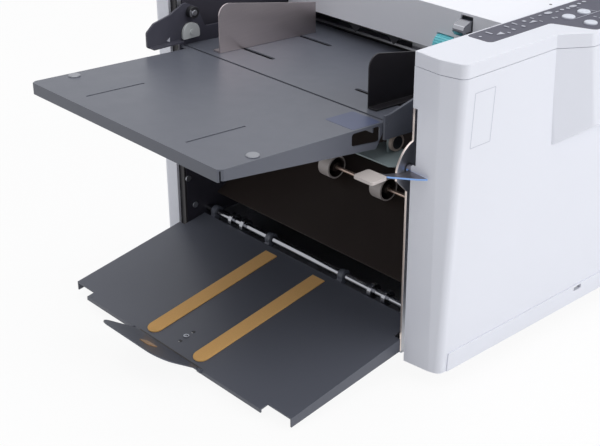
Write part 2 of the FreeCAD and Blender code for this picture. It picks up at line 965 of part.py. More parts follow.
def shaft_holes(side):
    y_low, y_high = span(side, frame_inner_y - overrun, frame_outer_y + overrun)
    radius = bush_radius + press_seat
    holes = []
    for x, z in roller_places.values():
        holes.append(cross_rod(x, z, radius, y_low, y_high))
    holes.append(cross_rod(feed_x, feed_z, feed_shaft_radius + bush_wall + press_seat, y_low, y_high))
    holes.append(cross_rod(exit_shaft_x, exit_shaft_z, exit_shaft_radius + bush_wall + press_seat, y_low, y_high))
    for index in range(2):
        x = deck_peg_x + deck_peg_pitch * index
        radius = deck_peg_radius + running_fit
        low = deck_peg_z - deck_drop
        high = deck_peg_z + deck_rise
        holes.append(cross_rod(x, low, radius, y_low, y_high))
        holes.append(cross_rod(x, high, radius, y_low, y_high))
        holes.append(block(x - radius, x + radius, y_low, y_high, low, high))
    return holes


def near_side_frame():
    corner = V(nose_top_x, -frame_outer_y, nose_top_z)
    middle = V(nose_mid_x, -frame_outer_y, nose_mid_z)
    tip = V(nose_x, -frame_outer_y, nose_start_z)
    points = [
        tip,
        V(nose_x, -frame_outer_y, nose_low),
        V(frame_front_x, -frame_outer_y, nose_low - (frame_front_x - nose_x)),
        V(frame_front_x, -frame_outer_y, frame_low),
        V(frame_back_x, -frame_outer_y, frame_low),
        V(frame_back_x, -frame_outer_y, frame_high),
        V(nose_top_x, -frame_outer_y, frame_high),
        corner,
    ]
    edges = [Part.LineSegment(a, b).toShape() for a, b in zip(points, points[1:])]
    edges.append(Part.Arc(corner, middle, tip).toShape())
    plate = Part.Face(Part.Wire(edges)).extrude(V(0, frame_sheet, 0))
    plate = plate.cut(shaft_holes(near))
    pin = cross_rod(lever_pivot_x, lever_z, lever_pin_radius, -cover_gap_half, -frame_outer_y)
    return join([plate, pin])


def far_side_frame():
    y_low, y_high = span(far, frame_inner_y, frame_outer_y)
    plate = side_profile(frame_outline(), y_low, y_high)
    motor_hole = cross_rod(motor_x, motor_z, motor_shaft_radius + bush_wall, y_low - overrun, y_high + overrun)
    return plate.cut(shaft_holes(far) + [motor_hole])


def cross_bars():
    """Three tie bars and the pivot shaft of the delivery tray, all set between the frames."""
    bars = []
    for x_share, z_share in tie_bar_places_share:
        x = x_share * frame_back_x
        z = z_share * frame_high
        bars.append(cross_rod(x, z, tie_bar_radius, -frame_inner_y, frame_inner_y))
    return Part.makeCompound(bars)


def tray_pivot_shaft():
    shaft = cross_rod(pivot_x, pivot_z, pivot_radius, -frame_inner_y, frame_inner_y)
    collars = []
    for side in sides:
        for place in collar_places:
            y_low, y_high = span(side, place - collar_width, place)
            collars.append(cross_rod(pivot_x, pivot_z, collar_radius, y_low, y_high))
    return join([shaft] + collars)


def base_plate():
    top = base_low + base_sheet
    back = frame_back_x
    plate = block(frame_front_x, back, -frame_outer_y, frame_outer_y, base_low, top)
    flanges = []
    for side in sides:
        y_low, y_high = span(side, frame_inner_y - base_sheet, frame_inner_y)
        start = pivot_x + collar_radius * 2
        flanges.append(block(start, back, y_low, y_high, base_low, top + base_flange))
    return join([plate] + flanges)


def rubber_feet():
    feet = []
    for x in (foot_x, body_length - foot_x):
        for side in sides:
            base = V(x, side * foot_y, -foot_height)
            height = foot_height + base_low
            feet.append(Part.makeCone(foot_radius - foot_taper, foot_radius, height, base, V(0, 0, 1)))
    return Part.makeCompound(feet)


def cover_screws():
    """Pan-head screws on the inner face of the far frame."""
    screws = []
    for x, z in inner_screw_places:
        y_high = frame_inner_y
        head = cross_rod(x, z, cover_screw_radius, y_high - cover_screw_head, y_high)
        screws.append(head)
    return Part.makeCompound(screws)


# Rear end
def plate_slot():
    """Way through the end cover for the lower fold plate."""
    length = plate_length + overrun
    half = plate_rail_height / 2 + plate_slot_clear
    half_width = plate_half_width + plate_slot_clear / 2
    bar = block(0, length, -half_width, half_width, -half, half)
    return placed_along(bar, lower_frame)


def end_cover():
    inner = frame_back_x
    outer = inner + end_sheet
    panel = block(inner, outer, -end_half_width, end_half_width, base_low, end_high)
    shelf = block(end_top_x, outer, -end_half_width, end_half_width, end_high - end_sheet, end_high)
    cuts = [plate_slot()]
    for index in range(louvre_count):
        z = louvre_low + louvre_pitch * index
        cuts.append(block(inner - overrun, outer + overrun, louvre_y, louvre_y + louvre_length, z, z + louvre_height))
    cuts.append(block(inner - overrun, outer + overrun, inlet_y - inlet_width / 2 + inlet_wall,
                      inlet_y + inlet_width / 2 - inlet_wall, inlet_z - inlet_height / 2 + inlet_wall,
                      inlet_z + inlet_height / 2 - inlet_wall))
    cuts.append(block(inner - overrun, outer + overrun, inlet_y - switch_width / 2, inlet_y + switch_width / 2,
                      switch_z - switch_height / 2, switch_z + switch_height / 2))
    return join([panel, shelf]).cut(cuts)


def mains_inlet():
    inner = frame_back_x
    outer = inner + end_sheet
    face = outer + inlet_flange
    half_width = inlet_width / 2
    half_height = inlet_height / 2
    flange = block(outer, face, inlet_y - half_width, inlet_y + half_width, inlet_z - half_height, inlet_z + half_height)
    inset = inlet_wall + body_gap / 2
    shell = block(face - inlet_depth, face, inlet_y - half_width + inset, inlet_y + half_width - inset,
                  inlet_z - half_height + inset, inlet_z + half_height - inset)
    pocket_inset = inset + inlet_wall / 2
    pocket = block(face - inlet_pocket, face + overrun, inlet_y - half_width + pocket_inset,
                   inlet_y + half_width - pocket_inset, inlet_z - half_height + pocket_inset,
                   inlet_z + half_height - pocket_inset)
    body = join([flange, shell]).cut(pocket)
    pins = []
    floor = face - inlet_pocket
    for place, rise in ((-inlet_pin_pitch, -1), (0, 1), (inlet_pin_pitch, -1)):
        z = inlet_z + rise * inlet_pin_sheet
        y = inlet_y + place
        pins.append(block(floor - press_seat, floor + inlet_pin_length, y - inlet_pin_sheet / 2, y + inlet_pin_sheet / 2,
                          z - inlet_pin_width / 2, z + inlet_pin_width / 2))
    return join([body] + pins)


def switch_axis_x():
    return frame_back_x + end_sheet / 2


def power_switch():
    """Rocker with its two faces at a shallow angle, on a cross pin."""
    x = switch_axis_x()
    half = switch_height / 2 - switch_lip - switch_rock_gap
    front = x + end_sheet / 2 + switch_proud
    y_low = inlet_y - switch_width / 2 + switch_lip + body_gap
    y_high = inlet_y + switch_width / 2 - switch_lip - body_gap
    points = [
        (x - switch_depth / 3, switch_z - half / 2),
        (x + switch_proud / 4, switch_z - half),
        (front, switch_z - half),
        (front - switch_proud / 2, switch_z),
        (front - switch_proud / 4, switch_z + half),
        (x + switch_proud / 4, switch_z + half),
        (x - switch_depth / 3, switch_z + half / 2),
    ]
    rocker = side_profile(points, y_low, y_high)
    pin = cross_rod(x - switch_pin_radius, switch_z, switch_pin_radius, y_low - switch_lip / 2, y_high + switch_lip / 2)
    return join([rocker, pin])


def switch_housing():
    """Frame of the rocker switch, snapped into the end cover."""
    x = switch_axis_x()
    outer = frame_back_x + end_sheet
    y_low = inlet_y - switch_width / 2 + body_gap / 2
    y_high = inlet_y + switch_width / 2 - body_gap / 2
    z_low = switch_z - switch_height / 2 + body_gap / 2
    z_high = switch_z + switch_height / 2 - body_gap / 2
    shell = block(outer - switch_depth, outer, y_low, y_high, z_low, z_high)
    flange = block(outer, outer + inlet_flange / 2, y_low - switch_lip, y_high + switch_lip,
                   z_low - switch_lip, z_high + switch_lip)
    room = block(outer - switch_depth + switch_lip, outer + overrun, y_low + switch_lip, y_high - switch_lip,
                 z_low + switch_lip, z_high - switch_lip)
    pin_way = cross_rod(x - switch_pin_radius, switch_z, switch_pin_radius + running_fit, y_low, y_high)
    return join([shell, flange]).cut([room, pin_way])


# Rollers, gears and belts
def fold_roller(name):
    x, z = roller_places[name]
    body = cross_rod(x, z, roller_radius, -roller_half_length, roller_half_length)
    near_end = -frame_outer_y - bush_flange_sheet
    far_end = gear_end_y
    if name == "center":
        near_end = -exit_band_end_y
    if name in ("center", "top"):
        far_end = band_end_y
    parts = [body, cross_rod(x, z, shaft_radius, near_end, far_end)]
    if name == "center":
        parts.append(cross_rod(x, z, exit_pulley_radius, -exit_band_end_y, -exit_band_start_y))
        parts.append(cross_rod(x, z, exit_pulley_radius + pulley_lip + belt_sheet, -exit_band_end_y - pulley_lip_sheet,
                               -exit_band_end_y))
    return join(parts)


def gear_solid(x, z, turned):
    """Spur gear with straight-sided teeth, one half pitch turned where it meets the centre gear."""
    tip = gear_pitch_radius + addendum_share * gear_module
    root = gear_pitch_radius - dedendum_share * gear_module
    pitch = 2 * math.pi / gear_teeth
    start = pitch / 2 if turned else 0
    points = []
    for index in range(gear_teeth):
        middle = start + pitch * index
        for radius, offset in ((root, -tooth_root_share), (tip, -tooth_tip_share),
                               (tip, tooth_tip_share), (root, tooth_root_share)):
            angle = middle + offset * pitch
            points.append((x + radius * math.cos(angle), z + radius * math.sin(angle)))
    wheel = side_profile(points, gear_start_y, gear_end_y)
    return wheel


def roller_gear(name):
    x, z = roller_places[name]
    wheel = gear_solid(x, z, name != "center")
    parts = [wheel]
    pulley = {"center": main_pulley_radius, "top": feed_pulley_radius}.get(name)
    if pulley:
        parts.append(cross_rod(x, z, pulley, gear_end_y, band_end_y))
        parts.append(cross_rod(x, z, pulley + pulley_lip + belt_sheet, band_end_y, band_end_y + pulley_lip_sheet))
    bore = cross_rod(x, z, shaft_radius + press_seat, gear_start_y - overrun, band_end_y + overrun)
    return join(parts).cut(bore)


def feed_pulley():
    wheel = cross_rod(feed_x, feed_z, feed_pulley_radius, band_start_y, band_end_y)
    lip = cross_rod(feed_x, feed_z, feed_pulley_radius + pulley_lip + belt_sheet, band_end_y,
                    band_end_y + pulley_lip_sheet)
    bore = cross_rod(feed_x, feed_z, feed_shaft_radius + press_seat, band_start_y - overrun, band_end_y + overrun)
    return join([wheel, lip]).cut(bore)


def motor_pulley():
    wheel = cross_rod(motor_x, motor_z, motor_pulley_radius, band_start_y, band_end_y)
    lip = cross_rod(motor_x, motor_z, motor_pulley_radius + pulley_lip + belt_sheet, band_end_y,
                    band_end_y + pulley_lip_sheet)
    hub = cross_rod(motor_x, motor_z, motor_shaft_radius, frame_inner_y, band_start_y)
    return join([wheel, lip, hub])


def belt_hull(first, second, first_radius, second_radius, y_low, y_high):
    """Solid filled shape of an open belt round two wheels."""
    (x1, z1), (x2, z2) = first, second
    distance = math.hypot(x2 - x1, z2 - z1)
    along = math.atan2(z2 - z1, x2 - x1)
    spread = math.acos((first_radius - second_radius) / distance)
    def rim(x, z, radius, angle):
        return V(x + radius * math.cos(angle), y_low, z + radius * math.sin(angle))
    upper_first = rim(x1, z1, first_radius, along + spread)
    lower_first = rim(x1, z1, first_radius, along - spread)
    upper_second = rim(x2, z2, second_radius, along + spread)
    lower_second = rim(x2, z2, second_radius, along - spread)
    edges = [
        Part.LineSegment(upper_first, upper_second).toShape(),
        Part.Arc(upper_second, rim(x2, z2, second_radius, along), lower_second).toShape(),
        Part.LineSegment(lower_second, lower_first).toShape(),
        Part.Arc(lower_first, rim(x1, z1, first_radius, along + math.pi), upper_first).toShape(),
    ]
    return Part.Face(Part.Wire(edges)).extrude(V(0, y_high - y_low, 0))


def belt(first, second, first_radius, second_radius, y_low, y_high):
    inner = belt_gap
    outer = belt_gap + belt_sheet
    whole = belt_hull(first, second, first_radius + outer, second_radius + outer, y_low, y_high)
    room = belt_hull(first, second, first_radius + inner, second_radius + inner, y_low - overrun, y_high + overrun)
    return whole.cut(room)


def timing_belts():
    """Motor to centre roller, top roller to feed shaft, centre roller to delivery shaft."""
    y_low = band_start_y + body_gap
    y_high = band_end_y - body_gap
    near_low = -exit_band_end_y + body_gap
    near_high = -exit_band_start_y - body_gap
    loops = [
        belt((motor_x, motor_z), roller_places["center"], motor_pulley_radius, main_pulley_radius, y_low, y_high),
        belt((feed_x, feed_z), roller_places["top"], feed_pulley_radius, feed_pulley_radius, y_low, y_high),
        belt((exit_shaft_x, exit_shaft_z), roller_places["center"], exit_pulley_radius, exit_pulley_radius,
             near_low, near_high),
    ]
    return Part.makeCompound(loops)


def bush(x, z, side, shaft):
    y_low, y_high = span(side, frame_inner_y - bush_flange_sheet, frame_outer_y)
    f_low, f_high = span(side, frame_inner_y - bush_flange_sheet, frame_inner_y)
    sleeve = cross_rod(x, z, shaft + bush_wall, y_low, y_high)
    flange = cross_rod(x, z, shaft + bush_wall + bush_flange, f_low, f_high)
    bore = cross_rod(x, z, shaft + running_fit, y_low - overrun, y_high + overrun)
    return join([sleeve, flange]).cut(bore)


def roller_bushes():
    bushes = []
    for side in sides:
        for x, z in roller_places.values():
            bushes.append(bush(x, z, side, shaft_radius))
        bushes.append(bush(feed_x, feed_z, side, feed_shaft_radius))
        bushes.append(bush(exit_shaft_x, exit_shaft_z, side, exit_shaft_radius))
    return Part.makeCompound(bushes)


def drive_motor():
    face = frame_inner_y
    can = cross_rod(motor_x, motor_z, motor_radius, face - motor_length, face - motor_face_sheet)
    plate = block(motor_x - motor_radius, motor_x + motor_radius, face - motor_face_sheet, face,
                  motor_z - motor_radius, motor_z + motor_radius)
    bore = cross_rod(motor_x, motor_z, motor_shaft_radius + running_fit, face - motor_face_sheet, face + overrun)
    foot = block(motor_x - motor_foot_width / 2, motor_x + motor_foot_width / 2,
                 face - motor_length + motor_face_sheet, face - motor_face_sheet,
                 base_low + base_sheet, motor_z - motor_radius / 2)
    return join([can, plate, foot]).cut(bore)


# Feeder
def feed_roller():
    tyre = cross_rod(feed_x, feed_z, feed_roller_radius, -feed_roller_width / 2, feed_roller_width / 2)
    shaft = cross_rod(feed_x, feed_z, feed_shaft_radius, -frame_outer_y - bush_flange_sheet, band_end_y)
    return join([tyre, shaft])


def pickup_roller():
    tyre = cross_rod(pickup_x, pickup_z, pickup_radius, -pickup_width / 2, pickup_width / 2)
    reach = arm_half_inner + arm_sheet
    shaft = cross_rod(pickup_x, pickup_z, pickup_shaft_radius, -reach, reach)
    return join([tyre, shaft])


def pickup_arm():
    """Two cheeks hung on the feed shaft, joined by a bridge over the rollers."""
    cheeks = []
    holes = []
    for side in sides:
        y_low, y_high = span(side, arm_half_inner, arm_half_inner + arm_sheet)
        first = cross_rod(feed_x, feed_z, arm_boss_radius, y_low, y_high)
        second = cross_rod(pickup_x, pickup_z, arm_boss_radius, y_low, y_high)
        web = side_profile([
            (feed_x, feed_z - arm_boss_radius),
            (feed_x, feed_z + arm_boss_radius),
            (pickup_x, pickup_z + arm_boss_radius),
            (pickup_x, pickup_z - arm_boss_radius),
        ], y_low, y_high)
        cheeks += [first, second, web]
        holes.append(cross_rod(feed_x, feed_z, feed_shaft_radius + running_fit, y_low - overrun, y_high + overrun))
        holes.append(cross_rod(pickup_x, pickup_z, pickup_shaft_radius + running_fit,
                               y_low - overrun, y_high + overrun))
    bridge_x = (feed_x + pickup_x) / 2
    bridge_z = (feed_z + pickup_z) / 2 + arm_boss_radius - arm_sheet
    half = arm_half_inner + arm_sheet
    bridge = block(bridge_x - arm_sheet, bridge_x + arm_sheet, -half, half, bridge_z - arm_sheet, bridge_z + arm_sheet)
    return join(cheeks + [bridge]).cut(holes)


def separator_pad():
    """Friction pad under the feed roller, on a bar between the frames."""
    top = feed_z - feed_roller_radius - pad_gap
    pad = block(feed_x - pad_length / 2, feed_x + pad_length / 2, -pad_width / 2, pad_width / 2, top - pad_height, top)
    bar_top = center_z + pad_bar_height * 2
    holder = block(feed_x - pad_length / 2, feed_x + pad_length / 2, -pad_width / 2, pad_width / 2,
                   bar_top - pad_bar_height, top - pad_height)
    bar_start = feed_x - pad_length / 2
    bar = block(bar_start - pad_holder_length + pad_length, bar_start + pad_length / 2, -frame_inner_y, frame_inner_y,
                bar_top - pad_bar_height, bar_top)
    return join([pad, holder, bar])


# Feed deck
def feed_bed():
    near_edge = -near_bracket_y
    far_edge = far_bracket_y
    front = deck_z(bed_front_x)
    back = deck_z(bed_back_x)
    points = [
        (bed_front_x, front),
        (bed_back_x, back),
        (bed_back_x, back - bed_flange),
        (bed_back_x - sheet, back - bed_flange),
        (bed_back_x - sheet, back - sheet),
        (bed_front_x + sheet, front - sheet),
        (bed_front_x + sheet, front - bed_flange),
        (bed_front_x, front - bed_flange),
    ]
    plate = side_profile(points, near_edge, far_edge)
    slots = []
    radius = guide_peg_radius + guide_slot_fit
    for side in sides:
        for index in range(2):
            x = guide_peg_x + guide_peg_pitch * index
            middle = guide_y + guide_foot_width / 2
            y_low, y_high = span(side, middle - guide_in_travel, middle + guide_out_travel)
            z_low = back - bed_flange
            z_high = front + overrun
            slots.append(upright_rod(x, y_low, radius, z_low, z_high))
            slots.append(upright_rod(x, y_high, radius, z_low, z_high))
            slots.append(block(x - radius, x + radius, y_low, y_high, z_low, z_high))
    return plate.cut(slots)


def deck_pegs(side, bracket_outer):
    pegs = []
    for index in range(2):
        x = deck_peg_x + deck_peg_pitch * index
        y_low, y_high = span(side, bracket_outer, frame_outer_y + bush_flange_sheet)
        pegs.append(cross_rod(x, deck_peg_z, deck_peg_radius, y_low, y_high))
    return pegs


def near_feed_bracket():
    outer = near_bracket_y + bracket_sheet
    y_low, y_high = span(near, near_bracket_y, outer)
    points = [
        (near_bracket_front_x, bracket_low),
        (bracket_back_x, bracket_low - bed_flange),
        (bracket_back_x, bracket_back_top_z),
        (near_bracket_top_x, near_bracket_top_z),
        (near_bracket_top_front_x, near_bracket_top_front_z),
        (near_bracket_front_x, near_bracket_top_front_z - body_gap),
    ]
    plate = side_profile(points, y_low, y_high)
    pin_hole = cross_rod(tray_hinge_x, tray_hinge_z, tray_pin_radius + running_fit, y_low - overrun, y_high + overrun)
    return join([plate] + deck_pegs(near, outer)).cut(pin_hole)


def far_feed_bracket():
    outer = far_bracket_y + bracket_sheet
    y_low, y_high = span(far, far_bracket_y, outer)
    points = [
        (far_nose_x, far_nose_low),
        (near_bracket_front_x, far_nose_low),
        (near_bracket_front_x, bracket_low),
        (bracket_back_x, bracket_low - bed_flange),
        (bracket_back_x, bracket_back_top_z),
        (far_lobe_foot_x, near_bracket_top_z),
        (far_lobe_end_x, far_lobe_end_z),
        (far_lobe_x, far_lobe_z),
        (far_step_x, far_step_z),
        (far_crest_x, far_crest_z),
        (far_nose_x, far_nose_high),
    ]
    radii = (far_foot_round, 0, 0, 0, far_foot_round, far_hollow_round, far_crest_round, far_lobe_round, 0,
             far_crest_round, far_nose_round)
    plate = side_profile(points, y_low, y_high, radii)
    flange = block(far_nose_x + bracket_sheet, near_bracket_front_x, far_bracket_y - far_flange_width, outer,
                   far_nose_low, far_nose_low + sheet)
    holes = [
        cross_rod(tray_hinge_x, tray_hinge_z, tray_pin_radius + running_fit, y_low - overrun, y_high + overrun),
        cross_rod(cam_x, cam_z, cam_pin_radius + running_fit, y_low - overrun, y_high + overrun),
    ]
    return join([plate, flange] + deck_pegs(far, outer)).cut(holes)


def height_cam():
    """D-shaped cam with its pin through the far bracket."""
    y_high = far_bracket_y - cam_gap
    y_low = y_high - cam_sheet
    points = [
        (cam_x - cam_half_width, cam_flat_z),
        (cam_x + cam_half_width, cam_flat_z),
        (cam_x + cam_half_width, cam_top_z),
        (cam_x - cam_half_width, cam_top_z),
    ]
    dome = cam_half_width - body_gap
    plate = side_profile(points, y_low, y_high, (cam_flat_round, cam_flat_round, dome, dome))
    pin = cross_rod(cam_x, cam_z, cam_pin_radius, y_low - cam_sheet / 2, far_bracket_y + bracket_sheet + cam_gap)
    return join([plate, pin])


def bracket_knob():
    y_high = far_bracket_y
    body = cross_rod(bracket_knob_x, bracket_knob_z, bracket_knob_radius, y_high - bracket_knob_length, y_high)
    head = cross_rod(bracket_knob_x, bracket_knob_z, bracket_knob_screw_radius,
                     y_high - bracket_knob_length - cover_screw_head / 2, y_high - bracket_knob_length)
    return join([body, head])


def lift_bracket():
    """Grey-green angle under the feed bed: a foot, and an upright that carries the lift bushing."""
    y_low, y_high = span(near, lift_plate_y, lift_plate_y + bracket_sheet)
    front = bushing_x - lift_upright_half
    back = bushing_x + lift_upright_half
    upright = side_profile([
        (front, lift_foot_z),
        (back, lift_foot_z),
        (back, deck_z(back) - sheet),
        (front, deck_z(front) - sheet),
    ], y_low, y_high)
    foot = plan_profile([
        (lift_foot_front_x, -lift_foot_inner_y),
        (lift_foot_back_x, -lift_foot_inner_y),
        (lift_foot_back_x, -lift_foot_outer_y),
        (lift_foot_front_x + lift_foot_cut, -lift_foot_outer_y),
        (lift_foot_front_x, -lift_foot_outer_y + lift_foot_cut),
    ][::-1], lift_foot_z, lift_foot_z + sheet)
    bore = cross_rod(bushing_x, bushing_z, bushing_seat_radius + press_seat, y_low - overrun, y_high + overrun)
    return join([upright, foot]).cut(bore)


def lift_bushing():
    y_low, y_high = span(near, lift_plate_y, lift_plate_y + bracket_sheet)
    flange = cross_rod(bushing_x, bushing_z, bushing_radius, y_low - bushing_proud, y_low)
    sleeve = cross_rod(bushing_x, bushing_z, bushing_seat_radius, y_low, y_high)
    bore = cross_rod(bushing_x, bushing_z, bushing_bore, y_low - overrun * 2, y_high + overrun)
    return join([flange, sleeve]).cut(bore)


def feed_tray():
    """Folded sheet tray that hangs on two pins in the brackets."""
    front = deck_z(deck_ref_x)
    inner = deck_z(tray_inner_x)
    half = tray_half_width
    top = side_profile([
        (deck_ref_x, front),
        (tray_inner_x, inner),
        (tray_inner_x, inner - sheet),
        (deck_ref_x, front - sheet),
    ], -half, half)
    lip = block(deck_ref_x, deck_ref_x + sheet, -half, half, front - tray_front_drop, front - sheet / 2)
    walls = []
    for side in sides:
        y_low, y_high = span(side, half - sheet, half)
        walls.append(side_profile([
            (deck_ref_x, front - sheet / 2),
            (tray_inner_x, inner - sheet / 2),
            (tray_inner_x, tray_hinge_z - tray_pin_radius * 2),
            (tray_inner_x - tray_side_drop_inner / 2, inner - tray_side_drop_inner),
            (deck_ref_x + sheet, front - tray_side_drop_front),
            (deck_ref_x, front - tray_front_drop),
        ], y_low, y_high))
    rib = block(tray_inner_x - tray_side_drop_front, tray_inner_x - tray_side_drop_front + sheet, -half, half,
                inner - tray_side_drop_front, inner - sheet / 2)
    pins = [
        cross_rod(tray_hinge_x, tray_hinge_z, tray_pin_radius, -near_bracket_y - bracket_sheet, -half + sheet),
        cross_rod(tray_hinge_x, tray_hinge_z, tray_pin_radius, half - sheet, far_bracket_y + bracket_sheet),
    ]
    domes = []
    cuts = []
    for side in sides:
        z = deck_z(disc_x)
        dome = upright_rod(disc_x, side * disc_y, disc_radius, z - sheet / 2, z + disc_dome)
        domes.append(dome.makeChamfer(disc_dome / 2, rim_at(dome, z + disc_dome)))
        groove_top = deck_z(groove_outer_x) + overrun
        groove = side_profile([
            (groove_outer_x, deck_z(groove_outer_x) - groove_depth),
            (groove_inner_x, deck_z(groove_inner_x) - groove_depth),
            (groove_inner_x, groove_top),
            (groove_outer_x, groove_top),
        ], side * groove_y - groove_width / 2, side * groove_y + groove_width / 2)
        cuts.append(groove)
        cuts.append(corner_cut(side, front))
    window = side_profile([
        (window_x_low, deck_z(window_x_low) - window_drop_high),
        (window_x_high, deck_z(window_x_high) - window_drop_high),
        (window_x_high, deck_z(window_x_high) - window_drop_low - sheet),
        (window_x_low, deck_z(window_x_low) - window_drop_low + sheet),
    ], -half - overrun, -half + sheet + overrun, window_round)
    return join([top, lip, rib] + walls + pins + domes).cut(cuts + [window])


def corner_cut(side, front):
    """Slanted relief across one front corner of the feed tray."""
    edge = side * (tray_half_width + overrun)
    inner = side * (tray_half_width - tray_relief / 2)
    points = [
        (deck_ref_x - overrun, inner - side * overrun / 2),
        (deck_ref_x + tray_relief / 2, side * tray_half_width),
        (deck_ref_x + tray_relief / 2 + overrun, edge),
        (deck_ref_x - overrun, edge),
    ]
    return plan_profile(points, front - tray_side_drop_inner, front + overrun)


def paper_guide(side):
    """Upright side guide with a foot on the bed and two pegs in its slots."""
    y_low, y_high = span(side, guide_y, guide_y + guide_sheet)
    lift = body_gap
    points = [
        (guide_front_x, deck_z(guide_front_x) + lift),
        (guide_back_x, deck_z(guide_back_x) + lift),
        (guide_back_x, guide_top_back_z),
        (guide_corner_x, guide_top_z),
        (guide_front_x, guide_top_z),
    ]
    plate = side_profile(points, y_low, y_high, (0, 0, 0, 0, guide_round))
    f_low, f_high = span(side, guide_y, guide_y + guide_foot_width)
    foot = side_profile([
        (guide_front_x, deck_z(guide_front_x) + lift),
        (guide_back_x, deck_z(guide_back_x) + lift),
        (guide_back_x, deck_z(guide_back_x) + lift + guide_sheet),
        (guide_front_x, deck_z(guide_front_x) + lift + guide_sheet),
    ], f_low, f_high)
    pegs = []
    for index in range(2):
        x = guide_peg_x + guide_peg_pitch * index
        y = side * (guide_y + guide_foot_width / 2)
        pegs.append(upright_rod(x, y, guide_peg_radius, deck_z(x) - sheet * 2, deck_z(x) + lift + guide_sheet / 2))
    return join([plate, foot] + pegs)


# Hood, knob and latch
def top_cover():
    outer = [
        (hood_front_x, hood_low),
        (hood_side_mid_x, hood_side_mid_z),
        (hood_side_rise_x, hood_side_rise_z),
        (hood_side_back_x, hood_side_rise_z),
        (hood_side_back_x, hood_side_back_z),
        (hood_back_x, hood_side_back_z),
        (hood_back_x, hood_back_top),
        (hood_front_x, hood_front_top),
    ]
    shell = side_profile(outer, -hood_half_width, hood_half_width)
    room = side_profile([
        (hood_front_x + hood_wall, hood_low - overrun),
        (hood_back_x + overrun, hood_low - overrun),
        (hood_back_x + overrun, hood_back_top - hood_wall),
        (hood_front_x + hood_wall, hood_front_top - hood_wall),
    ], -hood_half_width + hood_wall, hood_half_width - hood_wall)
    shell = shell.cut(room)
    slope = (hood_back_top - hood_front_top) / (hood_back_x - hood_front_x)
    cap_front_z = hood_front_top + slope * (hood_cap_front_x - hood_front_x)
    wing_back_x = hood_hinge_x - hood_hinge_radius - body_gap * 2
    wing_back_z = hood_front_top + slope * (wing_back_x - hood_front_x)
    wings = []
    for side in sides:
        y_low, y_high = span(side, hood_half_width - hood_wall, hood_cap_half_width)
        wings.append(side_profile([
            (hood_cap_front_x, hood_cap_low),
            (wing_back_x, hood_cap_low),
            (wing_back_x, wing_back_z),
            (hood_cap_front_x, cap_front_z),
        ], y_low, y_high))
    ears = []
    holes = []
    for side in sides:
        y = side * hood_hinge_y
        ears.append(block(hood_hinge_x - hood_hinge_radius, hood_hinge_x + hood_hinge_radius,
                          y - hood_ear_sheet / 2, y + hood_ear_sheet / 2, hood_hinge_z, hood_back_top - hood_wall / 2))
        ears.append(cross_rod(hood_hinge_x, hood_hinge_z, hood_hinge_radius, y - hood_ear_sheet / 2, y + hood_ear_sheet / 2))
        holes.append(cross_rod(hood_hinge_x, hood_hinge_z, hood_hinge_pin_radius + running_fit,
                               y - hood_hinge_length, y + hood_hinge_length))
    slots = []
    cheeks = []
    for y, half, gap, low, high in (
            (latch_y, latch_width / 2, latch_slot_gap, latch_slot_low, latch_slot_high),
            (teal_y, teal_width / 2, teal_slot_gap, hood_low - overrun, teal_z + teal_radius + teal_slot_gap)):
        slots.append(block(hood_front_x - overrun, hood_front_x + hood_wall + overrun / 2,
                           y - half - gap, y + half + gap, low, high))
    for x, y, z, half, sheet, reach in (
            (latch_pivot_x, latch_y, latch_pivot_z, latch_width / 2 + latch_slot_gap, latch_bracket_sheet, latch_hub_radius),
            (teal_x, teal_y, teal_z, teal_width / 2 + teal_slot_gap, teal_cheek_sheet, teal_cheek_reach)):
        for end in sides:
            y_low, y_high = span(end, half, half + sheet)
            cheeks.append(block(hood_front_x + hood_wall / 2, x + reach, y + y_low, y + y_high, z - reach, z + reach))
    teal_hole = cross_rod(teal_x, teal_z, teal_pin_radius + running_fit, teal_y - teal_width, teal_y + teal_width)
    pivot_hole = cross_rod(latch_pivot_x, latch_pivot_z, latch_pivot_radius + running_fit,
                           latch_y - latch_width, latch_y + latch_width)
    return join([shell] + wings + ears + cheeks).cut(holes + slots + [teal_hole, pivot_hole])


def hood_lug(side):
    """Lug on top of a frame with the pin that carries the hood."""
    y_low, y_high = span(side, frame_inner_y, frame_outer_y)
    neck = block(hood_hinge_x - hood_hinge_radius, hood_hinge_x + hood_hinge_radius, y_low, y_high,
                 frame_high - hood_hinge_radius, hood_hinge_z)
    eye = cross_rod(hood_hinge_x, hood_hinge_z, hood_hinge_radius, y_low, y_high)
    p_low, p_high = span(side, hood_hinge_y - hood_ear_sheet, frame_outer_y)
    pin = cross_rod(hood_hinge_x, hood_hinge_z, hood_hinge_pin_radius, p_low, p_high)
    return [neck, eye, pin]


def paper_fins():
    fins = []
    x_low = hood_front_x + hood_wall
    for y in fin_places:
        points = [
            (y - fin_half_width, fin_top_z),
            (y - fin_half_width, fin_root_z),
            (y, fin_tip_z),
            (y + fin_half_width, fin_root_z),
            (y + fin_half_width, fin_top_z),
        ]
        fins.append(end_profile(points, x_low, x_low + fin_sheet))
    return Part.makeCompound(fins)


def teal_knob():
    """Ribbed thumb wheel on a pin between two cheeks behind the hood's front wall."""
    y_low = teal_y - teal_width / 2
    y_high = teal_y + teal_width / 2
    wheel = cross_rod(teal_x, teal_z, teal_radius, y_low, y_high)
    grooves = []
    for index in range(teal_rib_count):
        angle = 2 * math.pi * index / teal_rib_count
        x = teal_x + teal_radius * math.cos(angle)
        z = teal_z + teal_radius * math.sin(angle)
        grooves.append(cross_rod(x, z, teal_rib_radius, y_low - overrun, y_high + overrun))
    reach = teal_slot_gap + teal_cheek_sheet
    pin = cross_rod(teal_x, teal_z, teal_pin_radius, y_low - reach, y_high + reach)
    return join([wheel.cut(grooves), pin])


